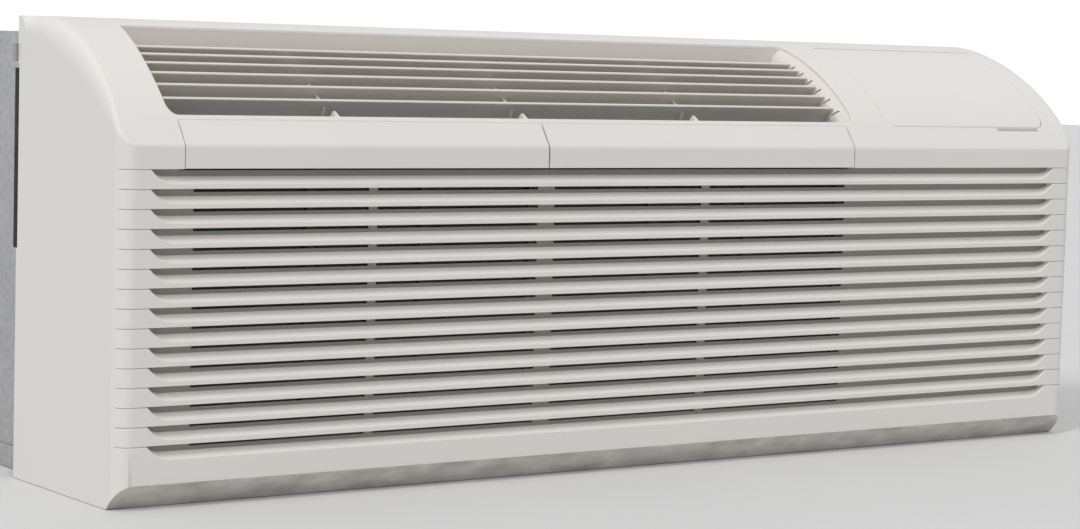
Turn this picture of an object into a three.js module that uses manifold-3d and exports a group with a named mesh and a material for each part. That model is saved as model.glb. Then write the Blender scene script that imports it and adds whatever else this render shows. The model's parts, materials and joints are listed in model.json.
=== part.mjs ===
// Through-the-wall air conditioner: room-side cover, chassis, air path, refrigerant circuit and controls.
// Units are millimetres. X runs along the width, -Y faces the room, +Z is up. The origin is under the
// middle of the unit's depth and width, on the plane it stands on.

import * as THREE from "three";
import { mergeVertices } from "three/addons/utils/BufferGeometryUtils.js";
import Module from "manifold-3d";

const wasm = await Module();
wasm.setup();

// ---------------------------------------------------------------- driving sizes

const gap = 0.3; // between pieces that touch

const coverWidth = 1070;
const coverHeight = 393;
const coverDepth = 196.5;
const coverWall = 3;
const edgeRadius = 14; // rounding of the cover's side edges
const ridgeDrop = 101; // from the cover's top down to the ridge above the handles
const topFlat = 30; // level part of the top behind the curve
const handleRun = 14.5; // depth of the sloped handle band
const handleRise = 21; // height of the sloped handle band
const apronHeight = 18.7; // upright part of the handle
const kickHeight = 20;
const kickDepth = 18.7;

const louvrePitch = 15.82;
const louvreDepth = 7.6;
const louvreWall = 2.2;
const louvreRecess = 6.1; // height of the upright back of each recess
const louvreFlat = 3.9; // height of the face between two recesses
const louvreSideMargin = 26; // from the cover's side to the recess ends
const bottomBand = 34; // least height of plain cover below the louvres
const slitHeight = 2.7;

const handleLeft = 56; // from the cover's left side to the left handle
const handleWidth = 357.3;
const handleWall = 2.6;
const filterThickness = 3.3;
const filterBorder = 9;

const dischargeLeftBack = 60.5; // discharge recess edges, from the cover's left side
const dischargeLeftFront = 50;
const dischargeRight = 783;
const dischargeBack = 66; // and from the cover's back
const lipLand = 3.6; // cover left between the recess and the handle band
const grilleWall = 2;
const grilleFloor = 13; // the grille reaches this far below the handle lip
const bladeFirst = 95; // depth of the first blade's front edge
const bladePitch = 13.1;
const bladeSink = 7; // blade edges below the cover's surface
const bladeChord = 23;
const bladeThickness = 2.6;
const bladeTilt = 50; // degrees below level
const ribSpacing = 192;
const ribFirst = 212; // from the cover's left side

const doorLeft = 825.3; // control door, from the cover's left side
const doorWidth = 214.6;
const doorBack = 70;
const doorWall = 2.5;
const doorCorner = 10;
const doorSwingGap = 3; // behind the door's rear edge
const hingeSink = 6;
const hingePin = 2;
const runningClearance = 0.3;

const unitDepth = 540;
const chassisInset = 18; // the chassis inside the cover, at each side
const chassisDrop = 9; // and below the cover's top
const sheet = 1.5;
const panFlange = 20;

const blowerRadius = 48;
const blowerDrop = 138; // blower axis below the scroll's mouth
const fanRadius = 134;
const fanHeight = 152;
const fanX = -110;
const compressorRadius = 60;
const compressorX = 392;
const compressorY = 68;

// ---------------------------------------------------------------- derived places

const left = -coverWidth / 2;
const right = coverWidth / 2;
const coverBack = -unitDepth / 2 + coverDepth;
const chassisBack = unitDepth / 2;
const ridgeHeight = coverHeight - ridgeDrop;
const louvreTop = ridgeHeight - apronHeight;
const louvreRows = Math.floor((louvreTop - bottomBand) / louvrePitch);
const louvreBottom = louvreTop - louvreRows * louvrePitch;
const lipDepth = coverDepth - handleRun;
const lipHeight = ridgeHeight + handleRise;
const dischargeFront = lipDepth - lipLand;
const bladeCount = Math.floor((dischargeFront - bladeFirst) / bladePitch);
const doorFront = lipDepth - gap - 0.1;
const chassisWidth = coverWidth - 2 * chassisInset;
const chassisHeight = coverHeight - chassisDrop;
const panFloor = 2;
const onPan = panFloor + gap;

// y of a place given as its depth in front of the cover's back plane
const frontOf = (depth) => coverBack - depth;

// ---------------------------------------------------------------- solids and outlines

function toSolid(geometry) {
  const bare = geometry.clone();
  bare.deleteAttribute("normal");
  bare.deleteAttribute("uv");
  const merged = mergeVertices(bare, 1e-4);
  const vertProperties = merged.attributes.position.array;
  const triVerts = Uint32Array.from(merged.index.array);
  return new wasm.Manifold(new wasm.Mesh({ numProp: 3, vertProperties, triVerts }));
}

function toGeometry(solid) {
  const mesh = solid.getMesh();
  const geometry = new THREE.BufferGeometry();
  geometry.setAttribute("position", new THREE.BufferAttribute(mesh.vertProperties, 3));
  geometry.setIndex(new THREE.BufferAttribute(mesh.triVerts, 1));
  return geometry;
}

const combine = (how, body, tools) =>
  toGeometry(tools.flat().reduce((solid, tool) => solid[how](toSolid(tool)), toSolid(body)));
const cut = (body, ...tools) => combine("subtract", body, tools);
const join = (body, ...tools) => combine("add", body, tools);
const overlap = (body, ...tools) => combine("intersect", body, tools);

const outline = (points) => new THREE.Shape(points.map(([a, b]) => new THREE.Vector2(a, b)));

function extruded(points, length, round) {
  const geometry = new THREE.ExtrudeGeometry(outline(points), {
    depth: length - 2 * round,
    bevelEnabled: round > 0,
    bevelThickness: round,
    bevelSize: round,
    bevelOffset: -round,
    bevelSegments: 4,
    curveSegments: 6,
  });
  return geometry.translate(0, 0, round);
}

// outline in (y, z), extruded along X from x0 to x1
function prismX(points, x0, x1, round = 0) {
  const turn = new THREE.Matrix4().set(0, 0, 1, x0, 1, 0, 0, 0, 0, 1, 0, 0, 0, 0, 0, 1);
  return extruded(points, x1 - x0, round).applyMatrix4(turn);
}

// outline in (x, z), extruded along Y from y0 to y1
function prismY(points, y0, y1, round = 0) {
  const turn = new THREE.Matrix4().set(1, 0, 0, 0, 0, 0, -1, y1, 0, 1, 0, 0, 0, 0, 0, 1);
  return extruded(points, y1 - y0, round).applyMatrix4(turn);
}

// outline in (x, y), extruded along Z from z0 to z1
function prismZ(points, z0, z1, round = 0) {
  return extruded(points, z1 - z0, round).translate(0, 0, z0);
}

function box(x0, x1, y0, y1, z0, z1) {
  const geometry = new THREE.BoxGeometry(x1 - x0, y1 - y0, z1 - z0);
  return geometry.translate((x0 + x1) / 2, (y0 + y1) / 2, (z0 + z1) / 2);
}

// box given by depths in front of the cover's back plane
const frontBox = (x0, x1, depth0, depth1, z0, z1) => box(x0, x1, frontOf(depth1), frontOf(depth0), z0, z1);

function rodX(x0, x1, y, z, radius, sides = 24) {
  const geometry = new THREE.CylinderGeometry(radius, radius, x1 - x0, sides);
  return geometry.rotateZ(-Math.PI / 2).translate((x0 + x1) / 2, y, z);
}

function rodY(x, y0, y1, z, radius, sides = 24) {
  const geometry = new THREE.CylinderGeometry(radius, radius, y1 - y0, sides);
  return geometry.translate(x, (y0 + y1) / 2, z);
}

function rodZ(x, y, z0, z1, radius, sides = 24) {
  const geometry = new THREE.CylinderGeometry(radius, radius, z1 - z0, sides);
  return geometry.rotateX(Math.PI / 2).translate(x, y, (z0 + z1) / 2);
}

// solid of revolution about an upright axis at (x, y); the profile is radius and height
function turned(profile, x, y, sides = 32) {
  const points = profile.map(([radius, height]) => new THREE.Vector2(radius, height));
  return new THREE.LatheGeometry(points, sides).rotateX(Math.PI / 2).translate(x, y, 0);
}

function tube(points, radius, steps = 24, sides = 8) {
  const places = points.map((point) => new THREE.Vector3(...point));
  const path = new THREE.CatmullRomCurve3(places, false, "centripetal");
  const ring = Array.from({ length: sides }, (_, i) => (2 * Math.PI * i) / sides);
  const section = outline(ring.map((angle) => [radius * Math.cos(angle), radius * Math.sin(angle)]));
  return new THREE.ExtrudeGeometry(section, { steps, extrudePath: path, bevelEnabled: false });
}

// an open line moved sideways, to the right of its direction of travel
function inset(points, distance) {
  const normals = points.slice(1).map(([a, b], i) => {
    const run = a - points[i][0];
    const rise = b - points[i][1];
    const length = Math.hypot(run, rise);
    return [rise / length, -run / length];
  });
  return points.map(([a, b], i) => {
    const before = normals[Math.max(i - 1, 0)];
    const after = normals[Math.min(i, normals.length - 1)];
    const share = distance / (1 + before[0] * after[0] + before[1] * after[1]);
    return [a + share * (before[0] + after[0]), b + share * (before[1] + after[1])];
  });
}

// closed outline of a sheet of even thickness that follows an open line
const band = (points, thickness) => [...points, ...inset(points, thickness).reverse()];

// rectangle with rounded corners, in plan
function roundedRect(x0, x1, y0, y1, radius, steps = 4) {
  const corners = [[x1 - radius, y1 - radius, 0], [x0 + radius, y1 - radius, 1],
    [x0 + radius, y0 + radius, 2], [x1 - radius, y0 + radius, 3]];
  return corners.flatMap(([x, y, quarter]) =>
    Array.from({ length: steps + 1 }, (_, i) => {
      const angle = (quarter + i / steps) * Math.PI / 2;
      return [x + radius * Math.cos(angle), y + radius * Math.sin(angle)];
    }));
}

// ---------------------------------------------------------------- cover surface

const topCurve = new THREE.CubicBezierCurve(
  new THREE.Vector2(topFlat, coverHeight),
  new THREE.Vector2(topFlat + 0.276 * (lipDepth - topFlat), coverHeight),
  new THREE.Vector2(topFlat + 0.763 * (lipDepth - topFlat), coverHeight - 0.388 * (coverHeight - lipHeight)),
  new THREE.Vector2(lipDepth, lipHeight),
);

// height of the cover's top surface at a depth in front of its back plane
function topHeight(depth) {
  let low = 0;
  let high = 1;
  for (let i = 0; i < 40; i += 1) {
    const middle = (low + high) / 2;
    if (topCurve.getPoint(middle).x < depth) low = middle;
    else high = middle;
  }
  return topCurve.getPoint(low).y;
}

const margin = 60; // how far the cutting outlines run past the cover's open back and bottom

// the cover's side view from its top rear edge to its bottom front edge, as depth and height
const sideView = [
  [-margin, coverHeight],
  ...topCurve.getPoints(8).map((point) => [point.x, point.y]),
  [coverDepth, ridgeHeight],
  [coverDepth, kickHeight],
  [coverDepth - kickDepth, 0],
  [coverDepth - kickDepth, -margin],
];

// solid block with the cover's shape, thickness inside its outer surface, open-ended at the back and bottom
function coverBlock(thickness) {
  const line = inset(sideView, thickness);
  const closed = [...line, [-margin, -margin]].map(([depth, height]) => [frontOf(depth), height]);
  return prismX(closed, left + thickness, right - thickness, edgeRadius - thickness);
}

const coverSpace = frontBox(left - 1, right + 1, 0, coverDepth + 1, 0, coverHeight + 1);
const outerBlock = overlap(coverBlock(0), coverSpace);

// plan outline of the discharge recess, moved inwards by an offset
function dischargePlan(offset) {
  const corner = 7;
  const edges = { back: dischargeBack + offset, front: dischargeFront - offset };
  const x0 = left + dischargeLeftBack + offset;
  const x1 = left + dischargeLeftFront + offset;
  const x2 = left + dischargeRight - offset;
  return [[x0, edges.back], [x2, edges.back], [x2, edges.front - corner], [x2 - corner, edges.front],
    [x1 + corner, edges.front], [x1, edges.front - corner]].map(([x, depth]) => [x, frontOf(depth)]);
}

const doorSpan = [left + doorLeft, left + doorLeft + doorWidth];

// plan outline of the control door, grown by an offset and by the swing gap behind it
function doorPlan(offset, swing) {
  const [x0, x1] = [doorSpan[0] - offset, doorSpan[1] + offset];
  const [front, back] = [frontOf(doorFront + offset), frontOf(doorBack - offset - swing)];
  const frontHalf = roundedRect(x0, x1, front, back, doorCorner).slice(10);
  return [[x1, back], [x0, back], ...frontHalf];
}

const hingeDepth = doorBack + 3;
const hingeHeight = topHeight(hingeDepth) - hingeSink;

// ---------------------------------------------------------------- front cover

// front face of the louvres, top to bottom, as depth and height
function louvreLine() {
  const back = coverDepth - louvreDepth;
  const rows = Array.from({ length: louvreRows }, (_, row) => louvreTop - row * louvrePitch);
  const points = rows.flatMap((top, row) => [
    ...(row > 0 ? [[coverDepth, top]] : []),
    [back, row > 0 ? top - gap : top],
    [back, top - louvreRecess],
    [coverDepth, top - louvrePitch + louvreFlat],
  ]);
  return [...points, [coverDepth, louvreBottom - 2]];
}

function louvrePanel() {
  const edge = louvreSideMargin;
  const section = band(louvreLine(), louvreWall).map(([depth, height]) => [frontOf(depth), height]);
  const back = coverDepth - louvreDepth - louvreWall;
  const panel = prismX(section, left + edge - 1, right - edge + 1);
  const ends = [[left + edge - 2, left + edge], [right - edge, right - edge + 2]].map(([x0, x1]) =>
    frontBox(x0, x1, back, coverDepth - 0.5, louvreBottom - 2, louvreTop + 2));
  const front = coverDepth - 0.5;
  const sill = frontBox(left + edge, right - edge, back, front, louvreBottom - 4, louvreBottom - 1.5);
  const ledge = frontBox(handleSpan(1)[1] + gap, right - edge, back, front, louvreTop, louvreTop + 2.2);
  return join(panel, ends, sill, ledge);
}

// left and right end of a filter handle
function handleSpan(index) {
  const start = left + handleLeft + index * handleWidth;
  return [start + (index > 0 ? gap / 2 : 0), start + handleWidth - (index > 0 ? 0 : gap / 2)];
}

// uprights between the bays of air slits, as centre and width from the cover's left side
const slitPosts = [[238, 8], [417, 17], [596, 8]];

function airSlits() {
  const back = coverDepth - louvreDepth;
  const starts = [69, ...slitPosts.map(([middle, width]) => middle + width / 2)];
  const stops = [...slitPosts.map(([middle, width]) => middle - width / 2), 767];
  const bays = starts.map((start, i) => [left + start, left + stops[i]]);
  const rows = Array.from({ length: louvreRows - 1 }, (_, row) => louvreTop - (row + 1) * louvrePitch);
  return rows.flatMap((top) => bays.map(([x0, x1]) =>
    frontBox(x0, x1, back - louvreWall - 1, back + 0.5, top - slitHeight - 0.5, top - 0.5)));
}

// upright guides and the ledge that the filters slide in and rest on
function filterGuides() {
  const depth0 = coverDepth - louvreDepth - louvreWall - filterThickness - 2 * gap;
  const depth1 = coverDepth - louvreDepth - louvreWall + 0.4;
  const [start, middle, end] = [handleSpan(0)[0], handleSpan(0)[1], handleSpan(1)[1]];
  const posts = [[start, start + 4.5], [middle - 4.5, middle + 4.8], [end - 4.5, end]];
  const top = louvreTop - 3;
  return [
    ...posts.map(([x0, x1]) => frontBox(x0, x1, depth0, depth1, louvreBottom + 4, top)),
    frontBox(start, end, depth0, depth1, louvreBottom + 4, louvreBottom + 9.6),
  ];
}

function hingeEar(x0, x1) {
  const ear = frontBox(x0, x1, hingeDepth - 5, hingeDepth + 5, hingeHeight - 5, coverHeight);
  const eye = rodX(x0 - 1, x1 + 1, frontOf(hingeDepth), hingeHeight, hingePin + runningClearance, 16);
  return cut(overlap(ear, outerBlock), eye);
}

function makeFrontCover() {
  const handles = [handleSpan(0)[0] - gap, handleSpan(1)[1] + gap];
  const shell = cut(outerBlock, coverBlock(coverWall));
  const louvreHole = frontBox(left + louvreSideMargin, right - louvreSideMargin,
    coverDepth - 10, coverDepth + 1, louvreBottom, louvreTop);
  const handleHole = frontBox(...handles, lipDepth - 0.1, coverDepth + 1, louvreTop - 0.1, lipHeight + 8);
  const discharge = prismZ(dischargePlan(0), lipHeight - 60, coverHeight + 1);
  const doorHole = prismZ(doorPlan(gap, doorSwingGap), lipHeight - 60, coverHeight + 1);
  const fingerNotch = frontBox(doorSpan[1] - 69, doorSpan[1] - 12,
    doorFront - 2, doorFront + 3, lipHeight - 9, coverHeight);
  const unhookNotch = rodZ(clipX, frontOf(0), coverHeight - 8, coverHeight + 1, 13);
  const edgeRelief = [left, right]
    .map((x) => frontBox(x - 20, x + 20, -1, 2.2, coverHeight / 2, coverHeight - 40));
  const web = overlap(outerBlock,
    frontBox(handles[0] - 3, handles[1] + 3,
      dischargeFront + 0.4, lipDepth - 0.1, lipHeight - 27, coverHeight));
  const open = cut(shell, louvreHole, handleHole, discharge, doorHole, fingerNotch, unhookNotch, edgeRelief);
  const ears = [hingeEar(doorSpan[0] - 6, doorSpan[0] - 2), hingeEar(doorSpan[1] + 2, doorSpan[1] + 6)];
  const whole = join(open, louvrePanel(), web, filterGuides(), ears);
  return cut(whole, airSlits());
}

// ---------------------------------------------------------------- discharge grille

function bladeSection(depth) {
  const height = topHeight(depth) - bladeSink;
  const tilt = THREE.MathUtils.degToRad(bladeTilt);
  const back = [depth - bladeChord * Math.cos(tilt), height - bladeChord * Math.sin(tilt)];
  const lift = [-bladeThickness * Math.sin(tilt) / 2, bladeThickness * Math.cos(tilt) / 2];
  return [[depth - lift[0], height - lift[1]], [depth + 1, height], [depth + lift[0], height + lift[1]],
    [back[0] + lift[0], back[1] + lift[1]], [back[0] - lift[0], back[1] - lift[1]]]
    .map(([d, z]) => [frontOf(d), z]);
}

function ribSection() {
  const last = bladeFirst + (bladeCount - 1) * bladePitch;
  const top = [bladeFirst - 4, (bladeFirst + last) / 2, last - 1, dischargeFront - 2, dischargeFront - 2]
    .map((depth, i) => [depth, i < 3 ? topHeight(depth) - bladeSink - 1 : lipHeight - (i === 3 ? 2 : 9)]);
  const under = [last - 12, bladeFirst - 12].map((depth) => [depth, topHeight(depth) - bladeSink - 26]);
  return [...top, ...under].map(([depth, height]) => [frontOf(depth), height]);
}

function makeDischargeGrille() {
  const floor = lipHeight - grilleFloor;
  const ring = cut(overlap(outerBlock, prismZ(dischargePlan(gap), floor, coverHeight + 1)),
    prismZ(dischargePlan(gap + grilleWall), floor - 1, coverHeight + 2));
  const within = prismZ(dischargePlan(gap + grilleWall / 2), floor - 30, coverHeight + 2);
  const blades = Array.from({ length: bladeCount }, (_, i) =>
    overlap(prismX(bladeSection(bladeFirst + i * bladePitch), left, right), within));
  const ribs = [0, 1, 2].map((i) => {
    const x = left + ribFirst + i * ribSpacing;
    return overlap(prismX(ribSection(), x - 1.5, x + 1.5), within);
  });
  return join(ring, blades, ribs);
}

// ---------------------------------------------------------------- control door and its pins

function makeControlDoor() {
  const column = prismZ(doorPlan(0, 0), lipHeight - 60, coverHeight + 1);
  const plate = cut(overlap(outerBlock, column), coverBlock(doorWall));
  const ends = [[doorSpan[0] + 1, doorSpan[0] + 13], [doorSpan[1] - 13, doorSpan[1] - 1]];
  const knuckles = ends.map(([x0, x1]) => {
    const block = frontBox(x0, x1, hingeDepth - 2.8, hingeDepth + 4, hingeHeight - 3.6, coverHeight);
    return overlap(block, outerBlock);
  });
  const eye = rodX(left, right, frontOf(hingeDepth), hingeHeight, hingePin + runningClearance, 16);
  return cut(join(plate, knuckles), eye);
}

const makeHingePin = (x0, x1) => rodX(x0, x1, frontOf(hingeDepth), hingeHeight, hingePin, 16);

// ---------------------------------------------------------------- filters

function makeFilterHandle(index) {
  const lip = lipDepth + 0.4;
  const slope = Math.hypot(handleRun, handleRise);
  const drop = handleWall * slope / handleRun;
  const bend = handleWall * (slope - handleRise) / handleRun;
  const lipEnd = lipHeight - 0.4 * handleRise / handleRun;
  const section = [[coverDepth, louvreTop + gap], [coverDepth, ridgeHeight], [lip, lipEnd],
    [lip, lipHeight - 0.4 * handleRise / handleRun - drop],
    [coverDepth - handleWall, ridgeHeight - bend], [coverDepth - handleWall, louvreTop + gap]];
  return prismX(section.map(([depth, height]) => [frontOf(depth), height]), ...handleSpan(index));
}

const filterBack = coverDepth - louvreDepth - louvreWall - filterThickness - gap;
const filterFloor = louvreBottom + 9.6 + gap;
const filterTop = louvreTop + 24;

function filterSpan(index) {
  const [x0, x1] = handleSpan(index);
  return [x0 + 5.2, x1 - 5.2];
}

function makeFilterFrame(index) {
  const [x0, x1] = filterSpan(index);
  const depths = [filterBack, filterBack + filterThickness];
  const plate = frontBox(x0, x1, ...depths, filterFloor, filterTop);
  const third = (x1 - x0 - filterBorder) / 3;
  const windows = [0, 1, 2].map((i) => frontBox(x0 + filterBorder + i * third, x0 + (i + 1) * third,
    depths[0] - 1, depths[1] + 1, filterFloor + filterBorder, filterTop - filterBorder));
  return cut(plate, windows);
}

function makeFilterMesh(index) {
  const [x0, x1] = filterSpan(index);
  const depth1 = filterBack - gap;
  return frontBox(x0 + 3, x1 - 3, depth1 - 0.6, depth1, filterFloor + 3, louvreTop - 1);
}

// ---------------------------------------------------------------- rear edge of the cover

const clipX = left + 399.5;

function makeCoverClip() {
  const line = [[-6, coverHeight - 30], [-6, coverHeight - 8], [2, coverHeight - 5],
    [16, coverHeight - 5], [20, coverHeight - 9]];
  return prismX(band(line, 1).map(([depth, height]) => [frontOf(depth), height]), clipX - 11, clipX + 11);
}

function makeEdgeGasket(side) {
  const x = [side * (coverWidth / 2 - 0.8), side * (coverWidth / 2 - 4.6)].sort((a, b) => a - b);
  return frontBox(...x, -8, -0.4, coverHeight / 2, coverHeight - 44);
}

// ---------------------------------------------------------------- control panel

const panelTilt = Math.atan2(topHeight(doorBack) - lipHeight, lipDepth - doorBack);
const panelDepth = (doorBack + lipDepth) / 2 - 9;
const panelHeight = (topHeight(doorBack) + lipHeight) / 2 - 13.5;
const panelHalf = 56;
const panelWide = doorWidth / 2 - 4;
const buttonMargin = 19.3; // from the panel's side to the middle of the first column
const lastMargin = 37.3; // and from the middle of the last one to the other side
const groupGap = 22; // more room before the last column than between the others
const buttonSpace = 12;
const buttonPitch = (2 * panelWide - buttonMargin - lastMargin - groupGap) / 4;
const buttonSize = [buttonPitch - buttonSpace, 11];
const buttonHole = 0.4;
const buttonLift = 3;

const column = (index) => index * buttonPitch - panelWide + buttonMargin;
const lastColumn = panelWide - lastMargin;

// middle of each button on the panel, across and up the slope
const buttons = {
  button_power: [column(0), -24],
  button_cool: [column(1), -24],
  button_heat: [column(2), -24],
  button_fan: [column(3), -24],
  button_temp_up: [lastColumn, 16],
  button_temp_down: [lastColumn, -18],
};
const display = { x: 67.3 - panelWide, y: 16, width: 92, height: 30 };

const centredRect = (x, y, width, height, radius) =>
  roundedRect(x - width / 2, x + width / 2, y - height / 2, y + height / 2, radius, 3);

function makeControlPanel() {
  const rim = 6;
  const wall = 2;
  const tray = prismZ(centredRect(0, 0, 2 * panelWide, 2 * panelHalf, 6), -2.5, rim);
  const hollow = prismZ(centredRect(0, 0, 2 * (panelWide - wall), 2 * (panelHalf - wall), 4), 0, rim + 1);
  const holes = Object.values(buttons).map(([x, y]) =>
    prismZ(centredRect(x, y, buttonSize[0] + 2 * buttonHole, buttonSize[1] + 2 * buttonHole, 3), -4, 1));
  const opening = centredRect(display.x, display.y, display.width + 2 * gap, display.height + 2 * gap, 3);
  const window = prismZ(opening, -4, 1);
  return cut(tray, hollow, holes, window);
}

function makeButton() {
  const cap = prismZ(centredRect(0, 0, ...buttonSize, 2.6), -4.4, buttonLift);
  const flange = prismZ(centredRect(0, 0, buttonSize[0] + 4, buttonSize[1] + 4, 3), -5, -2.5 - gap);
  return join(cap, flange);
}

const makeDisplayLens = () =>
  prismZ(centredRect(display.x, display.y, display.width, display.height, 2.6), -3, 0.8);

// ---------------------------------------------------------------- air path sizes

const coilLeft = left + 73;
const coilRight = left + 757;
const scrollLeft = left + 61;
const scrollRight = left + 779;
const scrollTop = lipHeight - grilleFloor - 2;
const blowerHeight = scrollTop - blowerDrop;
const coilFront = filterBack - 18;
const coilThick = 40;
const coilTop = lipHeight - 53;
const heaterDepth = coilFront - coilThick - 9;
const heaterRadius = 3.6;
const blowerDepth = heaterDepth - heaterRadius - 8.5 - blowerRadius;
const scrollBackDepth = blowerDepth - blowerRadius - 6;

// ---------------------------------------------------------------- control box

const controlBox = {
  x0: doorSpan[0] + 59.7,
  x1: doorSpan[1] + 1.1,
  back: scrollBackDepth + 6,
  front: lipDepth - 32,
  z0: 42,
  z1: lipHeight - 55,
};

function makeControlBox() {
  const { x0, x1, back, front, z0, z1 } = controlBox;
  const body = frontBox(x0, x1, back, front, z0, z1);
  const hollow = frontBox(x0 + sheet, x1 - sheet, back + sheet, front + 1, z0 + sheet, z1 - sheet);
  const cordHole = rodZ(x1 - 30, frontOf(front - 35), z0 - 1, z0 + 5, 9 + gap, 20);
  return cut(body, hollow, cordHole);
}

const makeControlBoxLid = () => frontBox(controlBox.x0, controlBox.x1,
  controlBox.front + gap, controlBox.front + gap + sheet, controlBox.z0, controlBox.z1);

function makeCordBushing() {
  const { x1, front, z0 } = controlBox;
  const [x, y] = [x1 - 30, frontOf(front - 35)];
  const profile = [[5, z0 - 9], [8, z0 - 9], [12.5, z0 - 4], [12.5, z0 - gap],
    [9, z0 - gap], [9, z0 + 6], [5, z0 + 6], [5, z0 - 9]];
  return turned(profile, x, y, 16);
}

function makeControlBoard() {
  const { x0, x1, back, z1 } = controlBox;
  const face = back + 16;
  const relayPitch = (x1 - x0 - 54) / 3;
  const part = (from, to, height, z0, z2) => frontBox(from, to, face - 0.5, face + height, z1 - z0, z1 - z2);
  const board = frontBox(x0 + 10, x1 - 10, face - 1.6, face, z1 - 126, z1 - 10);
  const relays = [0, 1, 2].map((i) => x0 + 18 + i * relayPitch)
    .map((x) => part(x, x + relayPitch - 8, 17, 116, 98));
  const chip = part(x0 + 30, x0 + 28 + relayPitch, 4, 56, 24);
  const transformer = part(x1 - 68, x1 - 22, 34, 70, 30);
  return join(board, relays, chip, transformer);
}

function makeRunCapacitor() {
  const { x0, back, z0 } = controlBox;
  const can = rodZ(x0 + 40, frontOf(back + 66), z0 + sheet + gap, z0 + 80, 22, 24);
  const terminals = [x0 + 32, x0 + 48]
    .map((x) => frontBox(x - 3, x + 3, back + 65, back + 67, z0 + 79, z0 + 88));
  return join(can, terminals);
}

// ---------------------------------------------------------------- indoor air path

// bent tube that joins two coil passes at a coil's end; outward is +1 or -1 along X
function returnBend(x, outward, y, z, spread, radius) {
  const points = [[0, 0], [7, 0], [13, 0.22], [16, 0.5], [13, 0.78], [7, 1], [0, 1]];
  return tube(points.map(([out, share]) => [x + outward * out, y, z + share * spread]), radius, 6, 6);
}

function makeCoil(x0, x1, y0, y1, z0, z1, bendSpread) {
  const plate = 2;
  const fins = box(x0 + plate - 0.5, x1 - plate + 0.5, y0 + 1, y1 - 1, z0 + 2, z1 - 2);
  const plates = [[x0, x0 + plate], [x1 - plate, x1]].map(([a, b]) => box(a, b, y0, y1, z0, z1));
  const count = Math.floor((z1 - z0 - 20) / (2 * bendSpread));
  const bends = Array.from({ length: count }, (_, i) => {
    const z = z0 + 12 + 2 * i * bendSpread;
    return [[x0 + 1, -1], [x1 - 1, 1]].map(([x, outward]) =>
      returnBend(x, outward, (y0 + y1) / 2, z, bendSpread, 4.7));
  });
  return join(fins, plates, bends.flat());
}

const makeIndoorCoil = () =>
  makeCoil(coilLeft, coilRight, frontOf(coilFront), frontOf(coilFront - coilThick), 12, coilTop, 25);

function makeDrainPan() {
  const [depth0, depth1] = [coilFront - coilThick - 8, coilFront + 4.5];
  const body = frontBox(coilLeft - 22, coilRight + 22, depth0, depth1, onPan, 28);
  const hollow = frontBox(coilLeft - 20, coilRight + 20, depth0 + 2, depth1 - 2, onPan + 2, 30);
  return cut(body, hollow);
}

function makeHeaterElement() {
  const [x0, x1] = [coilLeft + 14, coilRight - 10];
  const y = frontOf(heaterDepth);
  const passes = [66, 112, 158, 204].filter((z) => z < coilTop - 20);
  const run = passes.flatMap((z, i) => {
    const ends = i % 2 === 0 ? [x1 - 20, x0 + 20] : [x0 + 20, x1 - 20];
    const turn = i % 2 === 0 ? x0 : x1;
    const bend = i < passes.length - 1 ? [[turn, y, z + 14], [turn, y, z + 32]] : [];
    return [[ends[0], y, z], [ends[1], y, z], ...bend];
  });
  return tube(run, heaterRadius, 64, 6);
}

const blowerY = frontOf(blowerDepth);

// sheet behind and over the blower wheel that leads the air up to the grille
function scrollBack() {
  const radius = blowerRadius + 7;
  const around = Array.from({ length: 8 }, (_, i) => {
    const angle = THREE.MathUtils.degToRad(-62 - 17 * i);
    return [blowerDepth + radius * Math.cos(angle), blowerHeight + radius * Math.sin(angle)];
  });
  const wall = scrollBackDepth;
  return [...around, [wall + 3, blowerHeight + blowerRadius - 8], [wall + 14, scrollTop - 60],
    [wall + 34, scrollTop - 24], [dischargeBack + 2, scrollTop]];
}

function scrollFront() {
  const throat = blowerRadius + 9.5;
  const cutoff = THREE.MathUtils.degToRad(40);
  return [[dischargeFront - 1, scrollTop], [coilFront - 12, scrollTop - 12], [heaterDepth, coilTop + 6],
    [blowerDepth + blowerRadius + 4, blowerHeight + blowerRadius + 8],
    [blowerDepth + throat * Math.cos(cutoff), blowerHeight + throat * Math.sin(cutoff)]];
}

function makeBlowerScroll() {
  const toY = ([depth, height]) => [frontOf(depth), height];
  const back = prismX(band(scrollBack(), -1.8).map(toY), scrollLeft, scrollRight);
  const front = prismX(band(scrollFront(), 1.8).map(toY), scrollLeft, scrollRight);
  const wall = scrollBackDepth;
  const floor = blowerHeight - blowerRadius - 12;
  const side = [[wall, floor], [wall, blowerHeight + blowerRadius - 4], [wall + 13, scrollTop - 56],
    [wall + 33, scrollTop - 20], [dischargeBack, scrollTop], [dischargeFront - 1, scrollTop],
    [coilFront - 14, scrollTop - 14], [heaterDepth, coilTop + 3], [heaterDepth, blowerHeight + 30],
    [blowerDepth + blowerRadius - 8, floor]];
  const plates = [[scrollLeft - 1.5, scrollLeft + 0.5], [scrollRight - 0.5, scrollRight + 1.5]]
    .map(([x0, x1]) => prismX(side.map(toY), x0, x1));
  const shaftHole = rodX(scrollLeft - 5, scrollRight + 5, blowerY, blowerHeight, 9);
  return cut(join(back, front, plates), shaftHole);
}

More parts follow.
